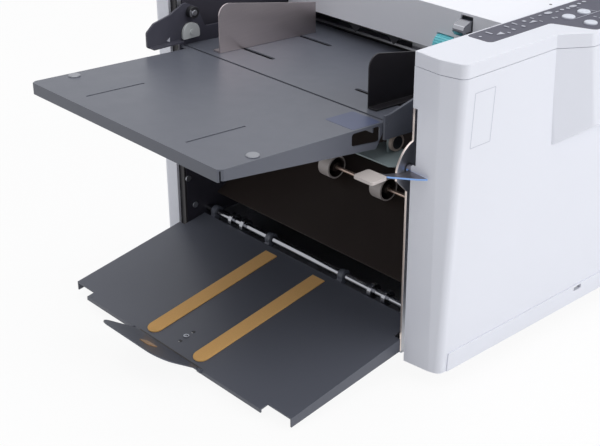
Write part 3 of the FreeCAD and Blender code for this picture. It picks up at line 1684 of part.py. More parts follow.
def hood_latch():
    """Channel-shaped steel lever with a curled front edge, on a pin behind the hood's front wall."""
    y_low = latch_y - latch_width / 2
    y_high = latch_y + latch_width / 2
    ridge = [
        (latch_curl_x, latch_curl_z),
        (latch_front_x, latch_front_z),
        (latch_brow_x, latch_brow_z),
        (latch_crown_x, latch_crown_z),
        (latch_tail_x, latch_tail_z),
    ]
    foot_z = latch_pivot_z - latch_hub_radius
    plate = side_profile(ridge[1:] + [
        (latch_tail_x, foot_z),
        (latch_pivot_x - latch_hub_radius, foot_z),
        (latch_crown_x, latch_cheek_low),
        (latch_curl_x, latch_cheek_low),
    ], y_low, y_high, latch_round)
    room = side_profile([
        (latch_front_x + latch_sheet, latch_front_z),
        (latch_brow_x + latch_sheet, latch_brow_z - latch_sheet),
        (latch_crown_x, latch_crown_z - latch_sheet),
        (latch_tail_x + overrun, latch_tail_z - latch_sheet),
        (latch_tail_x + overrun, foot_z - overrun),
        (latch_curl_x, foot_z - overrun),
    ], y_low + latch_sheet, y_high - latch_sheet)
    lip = side_profile([
        (latch_front_x, latch_front_z),
        (latch_curl_x, latch_curl_z),
        (latch_curl_x + latch_sheet, latch_curl_z),
        (latch_front_x + latch_sheet * 2, latch_front_z),
    ], y_low, y_high)
    reach = latch_width / 2 + latch_slot_gap + latch_bracket_sheet
    pivot = cross_rod(latch_pivot_x, latch_pivot_z, latch_pivot_radius, latch_y - reach, latch_y + reach)
    return join([plate.cut(room), lip, pivot])


# Fold plates, built flat and then set at their angle
def placed_along(shape, frame):
    """Turn a piece built along +X from zero to its fold plate's mouth and angle."""
    x, z, angle = frame
    shape = shape.copy()
    shape.rotate(V(0, 0, 0), V(0, 1, 0), -angle)
    shape.translate(V(x, 0, z))
    return shape


def skin_sheets(skin, low, high):
    """A skin as sheets that meet edge to edge: two at the sides, two at the ends, and strips between the windows."""
    end_x = plate_length - plate_sheet
    inner = plate_half_width - plate_rail
    middle = plate_window_pitch * (plate_window_count - 1) / 2 + plate_window_width / 2
    strip_low = plate_window_start + plate_window_round
    strip_high = plate_window_end - plate_window_round
    strip_half = (plate_window_pitch - plate_window_width) / 2
    areas = [
        (0, end_x, -inner, -middle),
        (0, end_x, middle, inner),
        (0, strip_low, -middle, middle),
        (strip_high, end_x, -middle, middle),
    ]
    for index in range(plate_window_count - 1):
        y = plate_window_pitch * (index + 1 - plate_window_count / 2)
        areas.append((strip_low, strip_high, y - strip_half, y + strip_half))
    sheets = []
    for x_low, x_high, y_low, y_high in areas:
        sheets += skin.common(block(x_low, x_high, y_low, y_high, low, high)).Solids
    return sheets


def fold_plate(frame, in_strips):
    """Two skins with a gap between them, held by side rails, an end bar and pegs."""
    half_gap = plate_gap / 2
    half = plate_half_width
    inner = half - plate_rail
    rail_half = plate_rail_height / 2
    cuts = []
    start = -plate_window_pitch * (plate_window_count - 1) / 2
    for index in range(plate_window_count):
        y = start + plate_window_pitch * index
        points = [
            (plate_window_start, y - plate_window_width / 2),
            (plate_window_end, y - plate_window_width / 2),
            (plate_window_end, y + plate_window_width / 2),
            (plate_window_start, y + plate_window_width / 2),
        ]
        cuts.append(plan_profile(points, -rail_half, rail_half, plate_window_round))
    slots = []
    for side in sides:
        y = side * plate_slot_y
        slots.append(block(plate_slot_start, plate_slot_end, y - plate_slot_width / 2, y + plate_slot_width / 2,
                           0, rail_half))
    end_x = plate_length - plate_sheet
    lower = block(0, end_x, -inner, inner, -half_gap - plate_sheet, -half_gap).cut(cuts)
    upper = block(0, end_x, -inner, inner, half_gap, half_gap + plate_sheet).cut(cuts + slots)
    skins = [lower, upper]
    if in_strips:
        skins = skin_sheets(lower, -half_gap - plate_sheet, -half_gap)
        skins += skin_sheets(upper, half_gap, half_gap + plate_sheet)
    pieces = skins + [block(end_x, plate_length, -half, half, -rail_half, rail_half)]
    for side in sides:
        y_low, y_high = span(side, inner, half)
        rail = block(plate_mouth_trim, end_x, y_low, y_high, -rail_half, rail_half)
        pegs = []
        for place in plate_peg_places:
            y_low, y_high = span(side, half - plate_rail / 2, frame_inner_y)
            pegs.append(cross_rod(place, 0, plate_peg_radius, y_low, y_high))
        pieces.append(join([rail] + pegs))
    return Part.makeCompound([placed_along(piece, frame) for piece in pieces])


def plate_stop(frame):
    """Cross bar in the plate's gap, held by two studs with grips above the plate."""
    x_low = stop_place - stop_bar_length / 2
    half = stop_bar_height / 2
    bar = block(x_low, x_low + stop_bar_length, -stop_half_width, stop_half_width, -half, half)
    grips = []
    grip_low = plate_gap / 2 + plate_sheet + body_gap
    for side in sides:
        y = side * plate_slot_y
        grips.append(upright_rod(stop_place, y, stop_stud_radius, 0, grip_low))
        grips.append(upright_rod(stop_place, y, stop_grip_radius, grip_low, grip_low + stop_grip_height))
    return placed_along(join([bar] + grips), frame)


# Delivery
def exit_chute():
    """Lower and upper guide sheets from the fold rollers to the delivery tray."""
    lower_line = [
        (chute_end_x, chute_end_z),
        (chute_low_x, chute_low_z),
        (chute_bend_x, chute_bend_z),
        (chute_start_x, chute_start_z),
    ]
    lower = bent_sheet(lower_line, chute_sheet, -frame_inner_y, frame_inner_y)
    upper_low_x = exit_shaft_x + exit_drum_radius + chute_gap
    run = (upper_low_x - chute_low_x) / (chute_bend_x - chute_low_x)
    upper_low_z = chute_low_z + (chute_bend_z - chute_low_z) * run
    lift = chute_gap + chute_sheet
    upper_line = [
        (upper_low_x, upper_low_z + lift * chute_flare_share),
        (chute_bend_x - lift / 2, chute_bend_z + lift),
        (chute_start_x - lift / 2, chute_start_z + lift),
    ]
    upper = bent_sheet(upper_line, chute_sheet, -frame_inner_y, frame_inner_y)
    return Part.makeCompound([lower, upper])


def exit_shaft():
    rod = cross_rod(exit_shaft_x, exit_shaft_z, exit_shaft_radius, -exit_band_end_y, frame_outer_y + bush_flange_sheet)
    wheel = cross_rod(exit_shaft_x, exit_shaft_z, exit_pulley_radius, -exit_band_end_y, -exit_band_start_y)
    lip = cross_rod(exit_shaft_x, exit_shaft_z, exit_pulley_radius + pulley_lip + belt_sheet,
                    -exit_band_end_y - pulley_lip_sheet, -exit_band_end_y)
    return join([rod, wheel, lip])


def exit_paddles():
    """Open drums on the delivery shaft: rim, web and hub."""
    drums = []
    for side in sides:
        y_low = side * exit_drum_y - exit_drum_width / 2
        y_high = y_low + exit_drum_width
        x, z = exit_shaft_x, exit_shaft_z
        rim = cross_rod(x, z, exit_drum_radius, y_low, y_high)
        room = cross_rod(x, z, exit_drum_radius - exit_drum_sheet, y_low - overrun, y_high + overrun)
        web = cross_rod(x, z, exit_drum_radius - exit_drum_sheet / 2, y_high - exit_drum_sheet, y_high)
        hub = cross_rod(x, z, exit_hub_radius, y_low, y_high)
        bore = cross_rod(x, z, exit_shaft_radius + press_seat, y_low - overrun, y_high + overrun)
        drums.append(join([rim.cut(room), web, hub]).cut(bore))
    return Part.makeCompound(drums)


def exit_tray():
    half = exit_half_width
    tail_half = exit_tail_half_width
    slope = exit_tray_slope_share
    points = [
        (exit_ref_x, -exit_lip_y), (exit_corner_x, -exit_lip_y), (exit_corner_x, -exit_notch_y),
        (exit_corner_x, -half), (exit_tail_x, -half), (exit_tail_x, -tail_half), (exit_tail_end_x, -tail_half),
        (exit_tail_end_x, tail_half), (exit_tail_x, tail_half), (exit_tail_x, half), (exit_corner_x, half),
        (exit_corner_x, exit_notch_y), (exit_corner_x, exit_lip_y), (exit_ref_x, exit_lip_y),
    ]
    skin_points = [
        (exit_ref_x - overrun, exit_z(exit_ref_x - overrun)),
        (exit_tail_end_x + overrun, exit_z(exit_tail_end_x + overrun)),
        (exit_tail_end_x + overrun, exit_z(exit_tail_end_x + overrun) - exit_tray_sheet),
        (exit_ref_x - overrun, exit_z(exit_ref_x - overrun) - exit_tray_sheet),
    ]
    skin = side_profile(skin_points, -half, half)
    plan = plan_profile(points, exit_ref_z - overrun * 2, exit_z(exit_tail_end_x) + overrun)
    plate = skin.common(plan)
    front_z = exit_z(exit_ref_x)
    pieces = [plate]
    for side in sides:
        y_low, y_high = span(side, exit_cut_half, exit_lip_y)
        pieces.append(block(exit_ref_x, exit_ref_x + exit_tray_sheet, y_low, y_high, front_z - exit_lip,
                            front_z - exit_tray_sheet / 2))
        y_low, y_high = span(side, half - exit_tray_sheet, half)
        pieces.append(side_profile([
            (exit_corner_x, exit_z(exit_corner_x) - exit_tray_sheet / 2),
            (exit_tail_x, exit_z(exit_tail_x) - exit_tray_sheet / 2),
            (exit_tail_x, exit_z(exit_tail_x) - exit_side_inner),
            (exit_corner_x, exit_z(exit_corner_x) - exit_side_front),
        ], y_low, y_high))
        y_low, y_high = span(side, exit_cut_half + flap_ear_gap, exit_cut_half + flap_ear_gap + flap_ear_width)
        ear_radius = flap_pin_radius + flap_ear_wall
        pieces.append(cross_rod(flap_hinge_x, flap_hinge_z, ear_radius, y_low, y_high))
        pieces.append(block(flap_hinge_x, exit_ref_x + exit_lip, y_low, y_high, flap_hinge_z - ear_radius,
                            front_z))
    holes = [cross_rod(flap_hinge_x, flap_hinge_z, flap_pin_radius + running_fit, -half, half)]
    top = exit_z(exit_tail_end_x)
    reach = pivot_radius + running_fit + pivot_arm_wall
    for side in sides:
        for place in pivot_arm_places:
            y_low, y_high = span(side, place - pivot_arm_width, place)
            pieces.append(cross_rod(pivot_x, pivot_z, reach, y_low, y_high))
            pieces.append(side_profile([
                (exit_tail_end_x - exit_side_inner, exit_z(exit_tail_end_x - exit_side_inner) - exit_tray_sheet / 2),
                (exit_tail_end_x, top - exit_tray_sheet / 2),
                (pivot_x, pivot_z + reach / 2),
                (pivot_x, pivot_z - reach),
                (exit_tail_end_x, top - exit_side_front),
            ], y_low, y_high))
            holes.append(cross_rod(pivot_x, pivot_z, pivot_radius + running_fit, y_low - overrun / 2, y_high + overrun / 2))
    for x in exit_hole_x:
        holes.append(upright_rod(x, 0, exit_hole_radius, exit_z(x) - overrun, exit_z(x) + overrun))
    rivet_z = exit_z(exit_rivet_x)
    pieces.append(upright_rod(exit_rivet_x, 0, exit_rivet_radius, rivet_z - exit_tray_sheet, rivet_z + exit_rivet_proud))
    holes.append(upright_rod(exit_rivet_x, 0, exit_hole_radius, rivet_z, rivet_z + overrun))
    return join(pieces).cut(holes)


def felt_strips():
    strips = []
    for side in sides:
        y_low = side * felt_y - felt_width / 2
        y_high = y_low + felt_width
        skin = side_profile([
            (felt_outer_x, exit_z(felt_outer_x)),
            (felt_inner_x, exit_z(felt_inner_x)),
            (felt_inner_x, exit_z(felt_inner_x) + felt_sheet),
            (felt_outer_x, exit_z(felt_outer_x) + felt_sheet),
        ], y_low, y_high)
        ends = [
            (felt_outer_x, y_low), (felt_inner_x, y_low), (felt_inner_x, y_high), (felt_outer_x, y_high),
        ]
        corner = felt_width / 2 - body_gap
        plan = plan_profile(ends, exit_ref_z - overrun, exit_z(felt_inner_x) + overrun, (corner, 0, 0, corner))
        strips.append(skin.common(plan))
    return Part.makeCompound(strips)


def exit_stop_flap():
    """Paper stop hinged on the tray's front lip, built flat and then raised."""
    half = flap_half_width
    points = [(0, -half), (-flap_length, -half), (-flap_length, half), (0, half)]
    plate = plan_profile(points, 0, flap_sheet, (0, flap_round, flap_round, 0))
    barrel = cross_rod(0, 0, flap_barrel_radius, -half, half)
    reach = exit_cut_half + flap_ear_gap + flap_ear_width
    pin = cross_rod(0, 0, flap_pin_radius, -reach, reach)
    flap = join([plate, barrel, pin])
    flap.rotate(V(0, 0, 0), V(0, 1, 0), flap_angle)
    flap.translate(V(flap_hinge_x, 0, flap_hinge_z))
    return flap


# Lever at the feed end of the near cover
def eject_lever():
    root = plan_profile([
        (lever_root_x, -lever_root_y),
        (lever_tip_x, -lever_tip_y),
        (lever_bend_x, -lever_bend_y),
        (lever_neck_x, -lever_neck_y),
        (lever_neck_x, -lever_neck_y + lever_band),
        (lever_bend_x + lever_band / 2, -lever_root_y + lever_band / 2),
        (lever_pivot_x, -lever_hub_high + lever_band / 2),
        (lever_pivot_x, -cover_gap_half + lever_root_inset),
        (lever_root_x, -cover_gap_half + lever_root_inset),
    ][::-1], lever_z, lever_z + lever_sheet)
    neck = plan_profile([
        (lever_neck_x - lever_band, -lever_neck_y),
        (lever_neck_x, -lever_neck_y),
        (lever_neck_x, -lever_neck_y + lever_band),
        (lever_neck_x - lever_band, -lever_neck_y + lever_band),
    ], lever_z, lever_z + lever_sheet)
    hub = cross_rod(lever_pivot_x, lever_z, lever_hub_radius, -lever_hub_high, -lever_hub_low)
    bore = cross_rod(lever_pivot_x, lever_z, lever_pin_radius + running_fit, -lever_tip_y, -lever_hub_low + overrun)
    return join([root, neck, hub]).cut(bore)


def lever_pad():
    pad = plan_profile([
        (pad_x_low, -pad_y_high), (pad_x_high, -pad_y_high), (pad_x_high, -pad_y_low), (pad_x_low, -pad_y_low),
    ], lever_z - lever_pad_height / 2, lever_z + lever_pad_height, lever_pad_round)
    socket = plan_profile([
        (lever_neck_x - lever_band, -lever_neck_y), (lever_neck_x + overrun, -lever_neck_y),
        (lever_neck_x + overrun, -lever_neck_y + lever_band), (lever_neck_x - lever_band, -lever_neck_y + lever_band),
    ], lever_z, lever_z + lever_sheet)
    return pad.cut(socket)


# Placing and writing
x_low = flap_hinge_x - flap_length * math.cos(math.radians(flap_angle))
lower_reach = plate_length * math.cos(math.radians(lower_angle))
lower_tail = plate_rail_height / 2 * math.sin(math.radians(-lower_angle))
x_high = lower_mouth_x + lower_reach + lower_tail
y_low = -console_outer
y_high = far_outer_high
shift = V(-(x_low + x_high) / 2, -(y_low + y_high) / 2, foot_height)

nodes = {
    "near_side_cover": near_side_cover,
    "near_top_cap": near_top_cap,
    "far_side_cover": far_side_cover,
    "base_plate": base_plate,
    "rubber_feet": rubber_feet,
    "near_side_frame": lambda: join([near_side_frame()] + hood_lug(near)),
    "far_side_frame": lambda: join([far_side_frame()] + hood_lug(far)),
    "cross_bars": cross_bars,
    "tray_pivot_shaft": tray_pivot_shaft,
    "cover_screws": cover_screws,
    "end_cover": end_cover,
    "mains_inlet": lambda: Part.makeCompound([mains_inlet(), switch_housing()]),
    "power_switch": power_switch,
    "control_membrane": control_membrane,
    "start_key": lambda: panel_key(0),
    "stop_key": lambda: panel_key(1),
    "reset_key": lambda: panel_key(2),
    "fold_roller_top": lambda: fold_roller("top"),
    "fold_roller_center": lambda: fold_roller("center"),
    "fold_roller_right": lambda: fold_roller("right"),
    "fold_roller_bottom": lambda: fold_roller("bottom"),
    "top_roller_gear": lambda: roller_gear("top"),
    "center_roller_gear": lambda: roller_gear("center"),
    "right_roller_gear": lambda: roller_gear("right"),
    "bottom_roller_gear": lambda: roller_gear("bottom"),
    "roller_bushes": roller_bushes,
    "timing_belts": timing_belts,
    "drive_motor": drive_motor,
    "motor_pulley": motor_pulley,
    "feed_pulley": feed_pulley,
    "feed_roller": feed_roller,
    "pickup_roller": pickup_roller,
    "pickup_arm": pickup_arm,
    "separator_pad": separator_pad,
    "feed_bed": feed_bed,
    "near_feed_bracket": near_feed_bracket,
    "far_feed_bracket": far_feed_bracket,
    "height_cam": height_cam,
    "bracket_knob": bracket_knob,
    "lift_bracket": lift_bracket,
    "lift_bushing": lift_bushing,
    "feed_tray": feed_tray,
    "near_paper_guide": lambda: paper_guide(near),
    "far_paper_guide": lambda: paper_guide(far),
    "top_cover": top_cover,
    "paper_fins": paper_fins,
    "teal_knob": teal_knob,
    "hood_latch": hood_latch,
    "upper_fold_plate": lambda: fold_plate(upper_frame, False),
    "lower_fold_plate": lambda: fold_plate(lower_frame, True),
    "upper_plate_stop": lambda: plate_stop(upper_frame),
    "lower_plate_stop": lambda: plate_stop(lower_frame),
    "exit_chute": exit_chute,
    "exit_shaft": exit_shaft,
    "exit_paddles": exit_paddles,
    "exit_tray": exit_tray,
    "felt_strips": felt_strips,
    "exit_stop_flap": exit_stop_flap,
    "eject_lever": eject_lever,
    "lever_pad": lever_pad,
}

os.makedirs("parts", exist_ok=True)
for name, maker in nodes.items():
    piece = maker()
    piece.translate(shift)
    piece.exportStep("parts/" + name + ".step")
    if not piece.isValid():
        print("not valid:", name)
print("origin in machine axes", -shift)
print(len(nodes), "nodes")
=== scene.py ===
"""Looks of the desk paper folding machine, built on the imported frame. Lengths are metres."""
import json
import math

import bmesh
import bpy
from mathutils import Matrix, Vector

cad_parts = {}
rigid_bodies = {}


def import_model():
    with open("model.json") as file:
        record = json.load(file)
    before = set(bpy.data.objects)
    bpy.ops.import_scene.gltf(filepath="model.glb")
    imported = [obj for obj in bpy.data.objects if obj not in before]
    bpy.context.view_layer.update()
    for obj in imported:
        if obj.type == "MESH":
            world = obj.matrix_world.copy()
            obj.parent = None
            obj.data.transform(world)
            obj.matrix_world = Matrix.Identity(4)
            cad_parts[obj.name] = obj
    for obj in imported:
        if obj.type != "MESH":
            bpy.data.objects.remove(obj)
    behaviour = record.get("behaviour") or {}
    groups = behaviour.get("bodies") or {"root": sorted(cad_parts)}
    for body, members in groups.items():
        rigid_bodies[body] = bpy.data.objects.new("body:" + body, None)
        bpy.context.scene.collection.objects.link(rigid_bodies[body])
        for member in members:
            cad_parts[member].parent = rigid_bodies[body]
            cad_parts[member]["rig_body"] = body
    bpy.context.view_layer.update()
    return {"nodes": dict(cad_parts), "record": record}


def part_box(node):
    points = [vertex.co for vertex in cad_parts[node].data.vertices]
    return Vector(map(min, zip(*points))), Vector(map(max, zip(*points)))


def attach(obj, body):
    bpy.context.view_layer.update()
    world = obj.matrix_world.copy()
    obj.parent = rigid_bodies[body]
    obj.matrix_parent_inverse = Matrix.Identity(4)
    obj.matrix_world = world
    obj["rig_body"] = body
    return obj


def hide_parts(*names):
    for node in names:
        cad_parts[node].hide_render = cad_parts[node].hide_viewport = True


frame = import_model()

nodes = frame["nodes"]
mm = 0.001

# Machine axes: X zero is the covers' feed end, Y zero the paper's middle, Z zero the covers' lower edge
origin = Vector((-222.906 * mm, 23.0 * mm, 16.0 * mm))

# Places of the solids that the marks and finishes go by, in machine axes and millimetres
cover_height = 309.5
cover_lean = 15.2
near_cover_low_y = 215.2
panel_top_z = 309.8
deck_top_z = 235.03
deck_fall = 0.048
exit_tray_rise = 0.181
exit_tray_z_at_rivet = 0.66
rivet_x = -126.0
rivet_y = -1.5
rivet_top_z = 1.3
flap_slope_deg = 34.0
line_width = 0.7
drum_bore_radius = 10.7
drum_web_radius = 11.3
bright_edge_x = 16.0
lever_low_z = 196.5
lever_high_z = 198.7
screw_height = 1.6
small_face = 6.0
dome_rise = 0.27


def at(x, y, z):
    """A place in machine axes and millimetres, as a point of the scene."""
    return origin + Vector((x, y, z)) * mm


def colour(red, green, blue):
    """Linear colour from screen values of 0 to 255."""
    def linear(value):
        share = value / 255
        return share / 12.92 if share <= 0.04045 else ((share + 0.055) / 1.055) ** 2.4
    return (linear(red), linear(green), linear(blue), 1.0)


# Materials
def new_material(name):
    material = bpy.data.materials.new(name)
    material.use_nodes = True
    tree = material.node_tree
    shader = tree.nodes["Principled BSDF"]
    return material, tree, shader


def add_node(tree, kind, **values):
    node = tree.nodes.new(kind)
    for key, value in values.items():
        node.inputs[key].default_value = value
    return node


def noise(tree, scale, detail=3.0, roughness=0.5):
    place = tree.nodes.new("ShaderNodeTexCoord")
    texture = add_node(tree, "ShaderNodeTexNoise", Scale=scale, Detail=detail, Roughness=roughness)
    tree.links.new(place.outputs["Object"], texture.inputs["Vector"])
    return texture.outputs["Fac"]


def varied_colour(tree, shader, factor, low, high):
    mix = tree.nodes.new("ShaderNodeMix")
    mix.data_type = "RGBA"
    mix.inputs[6].default_value = low
    mix.inputs[7].default_value = high
    tree.links.new(factor, mix.inputs[0])
    tree.links.new(mix.outputs[2], shader.inputs["Base Color"])
    return mix


def varied_roughness(tree, shader, factor, low, high):
    span = tree.nodes.new("ShaderNodeMapRange")
    span.inputs["To Min"].default_value = low
    span.inputs["To Max"].default_value = high
    tree.links.new(factor, span.inputs["Value"])
    tree.links.new(span.outputs["Result"], shader.inputs["Roughness"])


def add_bump(tree, shader, factor, strength, depth):
    bump = add_node(tree, "ShaderNodeBump", Strength=strength, Distance=depth)
    tree.links.new(factor, bump.inputs["Height"])
    tree.links.new(bump.outputs["Normal"], shader.inputs["Normal"])


def plastic(name, base, spread=6, rough=(0.34, 0.44), grain=2600.0, depth=0.02 * mm, coat=0.0):
    """Moulded plastic with a fine spark-eroded grain."""
    material, tree, shader = new_material(name)
    cloud = noise(tree, 9.0, 2.0)
    low = colour(*[max(value - spread, 0) for value in base])
    varied_colour(tree, shader, cloud, low, colour(*base))
    fine = noise(tree, grain, 2.0, 0.6)
    varied_roughness(tree, shader, noise(tree, 40.0, 3.0), *rough)
    add_bump(tree, shader, fine, 0.35, depth)
    shader.inputs["Coat Weight"].default_value = coat
    shader.inputs["Coat Roughness"].default_value = 0.2
    return material


def paint(name, base, spread=6, rough=(0.32, 0.42), metallic=0.0, peel=420.0, depth=0.03 * mm):
    """Powder coat on sheet metal, with a soft orange-peel surface."""
    material, tree, shader = new_material(name)
    cloud = noise(tree, 14.0, 3.0)
    low = colour(*[max(value - spread, 0) for value in base])
    varied_colour(tree, shader, cloud, low, colour(*base))
    varied_roughness(tree, shader, noise(tree, 60.0, 4.0), *rough)
    add_bump(tree, shader, noise(tree, peel, 2.0, 0.5), 0.4, depth)
    shader.inputs["Metallic"].default_value = metallic
    shader.inputs["Specular IOR Level"].default_value = 0.35
    return material


def metal(name, base, rough=(0.18, 0.3), stretch=(1.0, 40.0, 40.0), depth=0.01 * mm):
    """Bare or plated metal with fine drawn marks along one direction."""
    material, tree, shader = new_material(name)
    place = tree.nodes.new("ShaderNodeTexCoord")
    turn = tree.nodes.new("ShaderNodeMapping")
    turn.inputs["Scale"].default_value = stretch
    texture = add_node(tree, "ShaderNodeTexNoise", Scale=30.0, Detail=3.0)
    tree.links.new(place.outputs["Object"], turn.inputs["Vector"])
    tree.links.new(turn.outputs["Vector"], texture.inputs["Vector"])
    factor = texture.outputs["Fac"]
    low = colour(*[max(value - 14, 0) for value in base])
    varied_colour(tree, shader, factor, low, colour(*base))
    varied_roughness(tree, shader, factor, *rough)
    add_bump(tree, shader, factor, 0.2, depth)
    shader.inputs["Metallic"].default_value = 1.0
    return material


def felt(name, base):
    material, tree, shader = new_material(name)
    fibres = noise(tree, 900.0, 6.0, 0.7)
    low = colour(*[max(value - 24, 0) for value in base])
    varied_colour(tree, shader, fibres, low, colour(*base))
    shader.inputs["Roughness"].default_value = 0.95
    shader.inputs["Sheen Weight"].default_value = 0.35
    add_bump(tree, shader, fibres, 0.9, 0.3 * mm)
    return material


materials = {
    "cover_white": plastic("cover_white", (233, 235, 243), 3, (0.36, 0.42)),
    # hood_grey is the covers' white plastic made lighter than cover_white: painted light, standing in for
    # the light that the white paper, left out here, throws onto the recessed hood
    "hood_grey": plastic("hood_grey", (248, 249, 255), 3, (0.4, 0.5)),
    "paint_grey": paint("paint_grey", (95, 98, 108), 5, (0.3, 0.4)),
    "paint_dark": paint("paint_dark", (58, 57, 66), 6, (0.34, 0.46)),
    "paint_black": paint("paint_black", (34, 32, 36), 4, (0.3, 0.4)),
    "paint_brown": paint("paint_brown", (58, 50, 47), 8, (0.36, 0.48)),
    "bracket_grey": paint("bracket_grey", (72, 72, 83), 5, (0.32, 0.42)),
    "cam_grey": paint("cam_grey", (212, 216, 216), 12, (0.3, 0.42)),
    "rivet_grey": paint("rivet_grey", (150, 152, 158), 8, (0.25, 0.34), 0.3),
    # Light steel for the near frame's front edge: partly its bare cut edge, partly a painted highlight of
    # the light catching that edge
    "cut_edge_highlight": metal("cut_edge_highlight", (232, 220, 214), (0.3, 0.42)),
    # Light blue steel as a painted blue-tinted highlight along the eject lever's polished edge
    "lever_edge_highlight": metal("lever_edge_highlight", (140, 178, 236), (0.25, 0.36)),
    "lever_grey": metal("lever_grey", (150, 148, 158), (0.3, 0.42)),
    "ring_beige": plastic("ring_beige", (176, 160, 150), 8, (0.35, 0.45)),
    # Dark brown as painted shade: the deep insides of the delivery drums and the hinge gap of the exit tray
    "painted_shade_dark": plastic("painted_shade_dark", (52, 44, 40), 6, (0.5, 0.6)),
    # A slightly darker white for the raised outline on the near cover, as painted shade along its emboss
    "outline_shade_grey": plastic("outline_shade_grey", (206, 208, 219), 4, (0.4, 0.5)),
    "paint_green": paint("paint_green", (126, 138, 140), 6, (0.4, 0.5)),
    "guide_taupe": metal("guide_taupe", (196, 186, 188), (0.34, 0.46), (1.0, 6.0, 60.0), 0.006 * mm),
    "zinc_steel": metal("zinc_steel", (188, 190, 196), (0.3, 0.45)),
    "chrome_steel": metal("chrome_steel", (170, 171, 176), (0.08, 0.16)),
    "black_plastic": plastic("black_plastic", (30, 30, 34), 5, (0.38, 0.5)),
    "ivory_plastic": plastic("ivory_plastic", (206, 198, 194), 8, (0.35, 0.45)),
    "teal_plastic": plastic("teal_plastic", (126, 222, 232), 8, (0.3, 0.4)),
    "membrane_grey": plastic("membrane_grey", (68, 68, 84), 4, (0.36, 0.44)),
    "mark_white": plastic("mark_white", (196, 198, 208), 10, (0.4, 0.5)),
    "label_blue": plastic("label_blue", (76, 84, 112), 8, (0.36, 0.46)),
    "key_white": plastic("key_white", (222, 226, 236), 4, (0.25, 0.32)),
    "felt_tan": felt("felt_tan", (255, 200, 122)),
    # The flap pad's felt: a darker copy of felt_tan as painted shade
    "felt_tan_shaded": felt("felt_tan_shaded", (176, 128, 66)),
    "rubber_black": plastic("rubber_black", (36, 36, 38), 6, (0.6, 0.75)),
    "roller_rubber": plastic("roller_rubber", (92, 92, 96), 8, (0.55, 0.7)),
    "brass_rod": metal("brass_rod", (214, 192, 178), (0.4, 0.52)),
    "gear_plastic": plastic("gear_plastic", (216, 210, 196), 6, (0.4, 0.5)),
}

slot_of = {entry["node"]: entry["material_slot"] for entry in frame["record"]["subparts"]}

# Nodes whose finish in the photograph differs from the rest of their slot; the near paper guide's black is
# painted shade of its outer face, which lies in shadow
finish_and_shade_of = {
    "near_paper_guide": "paint_black", "exit_chute": "paint_brown", "far_feed_bracket": "bracket_grey",
    "height_cam": "cam_grey", "lift_bushing": "ring_beige", "eject_lever": "lever_grey",
}


# Pieces dressed from their CAD nodes
def dressed(name, bevel=0.5, segments=2, angle=28.0):
    """A copy of a CAD node with cleaned faces, softly rounded edges and its material."""
    source = nodes[name]
    mesh = bmesh.new()
    mesh.from_mesh(source.data)
    bmesh.ops.remove_doubles(mesh, verts=mesh.verts, dist=0.005 * mm)
    bmesh.ops.dissolve_limit(mesh, angle_limit=math.radians(0.6), verts=mesh.verts, edges=mesh.edges)
    data = bpy.data.meshes.new(name + "_skin")
    mesh.to_mesh(data)
    mesh.free()
    piece = bpy.data.objects.new(name + "_skin", data)
    bpy.context.scene.collection.objects.link(piece)
    data.materials.clear()
    data.materials.append(materials[finish_and_shade_of.get(name, slot_of[name])])
    for face in data.polygons:
        face.use_smooth = True
        face.material_index = 0
    if bevel:
        rounding = piece.modifiers.new("edges", "BEVEL")
        rounding.width = bevel * mm
        rounding.segments = segments
        rounding.limit_method = "ANGLE"
        rounding.angle_limit = math.radians(angle)
        rounding.harden_normals = True
        rounding.use_clamp_overlap = True
    smooth_by_angle(piece, angle)
    normals = piece.modifiers.new("even_normals", "WEIGHTED_NORMAL")
    normals.keep_sharp = True
    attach(piece, source["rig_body"])
    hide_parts(name)
    return piece


def smooth_by_angle(piece, angle):
    piece.data.set_sharp_from_angle(angle=math.radians(angle))


bevels = {
    "near_side_cover": 0.8, "near_top_cap": 1.6, "far_side_cover": 1.6, "top_cover": 1.4, "feed_tray": 0.7,
    "exit_tray": 0.6, "exit_stop_flap": 0.4, "feed_bed": 0.6, "near_feed_bracket": 0.4,
    "far_feed_bracket": 0.4, "control_membrane": 0.15, "start_key": 0.4, "stop_key": 0.4, "reset_key": 0.4,
    "timing_belts": 0.0, "cover_screws": 0.3, "lever_pad": 1.0, "end_cover": 0.5,
}
skins = {name: dressed(name, bevels.get(name, 0.3)) for name in sorted(nodes)}


def refinish(name, finish, test):
    """Another finish for the faces that pass a test of their corners, in machine axes, and normal."""
    data = skins[name].data
    data.materials.append(materials[finish])
    last = len(data.materials) - 1
    for face in data.polygons:
        corners = [(data.vertices[index].co - origin) / mm for index in face.vertices]
        if test(corners, face.normal):
            face.material_index = last


def drum_inside(corners, normal):
    """True for the web and the inner wall of a delivery drum."""
    reach = [math.hypot(corner.x - drum_axis[0], corner.z - drum_axis[1]) for corner in corners]
    return min(reach) < drum_bore_radius or max(reach) < drum_web_radius


drum_low, drum_high = [(corner - origin) / mm for corner in map(Vector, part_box("exit_paddles"))]
drum_axis = ((drum_low.x + drum_high.x) / 2, (drum_low.z + drum_high.z) / 2)
# The drums' webs and inner walls get painted shade, dark brown standing in for the shade deep inside them
refinish("exit_paddles", "painted_shade_dark", drum_inside)
# The near frame's front edge faces: bare cut edge, brightened as a painted highlight
refinish("near_side_frame", "cut_edge_highlight", lambda corners, normal: abs(normal.y) < 0.5 and
         corners[0].x < bright_edge_x)
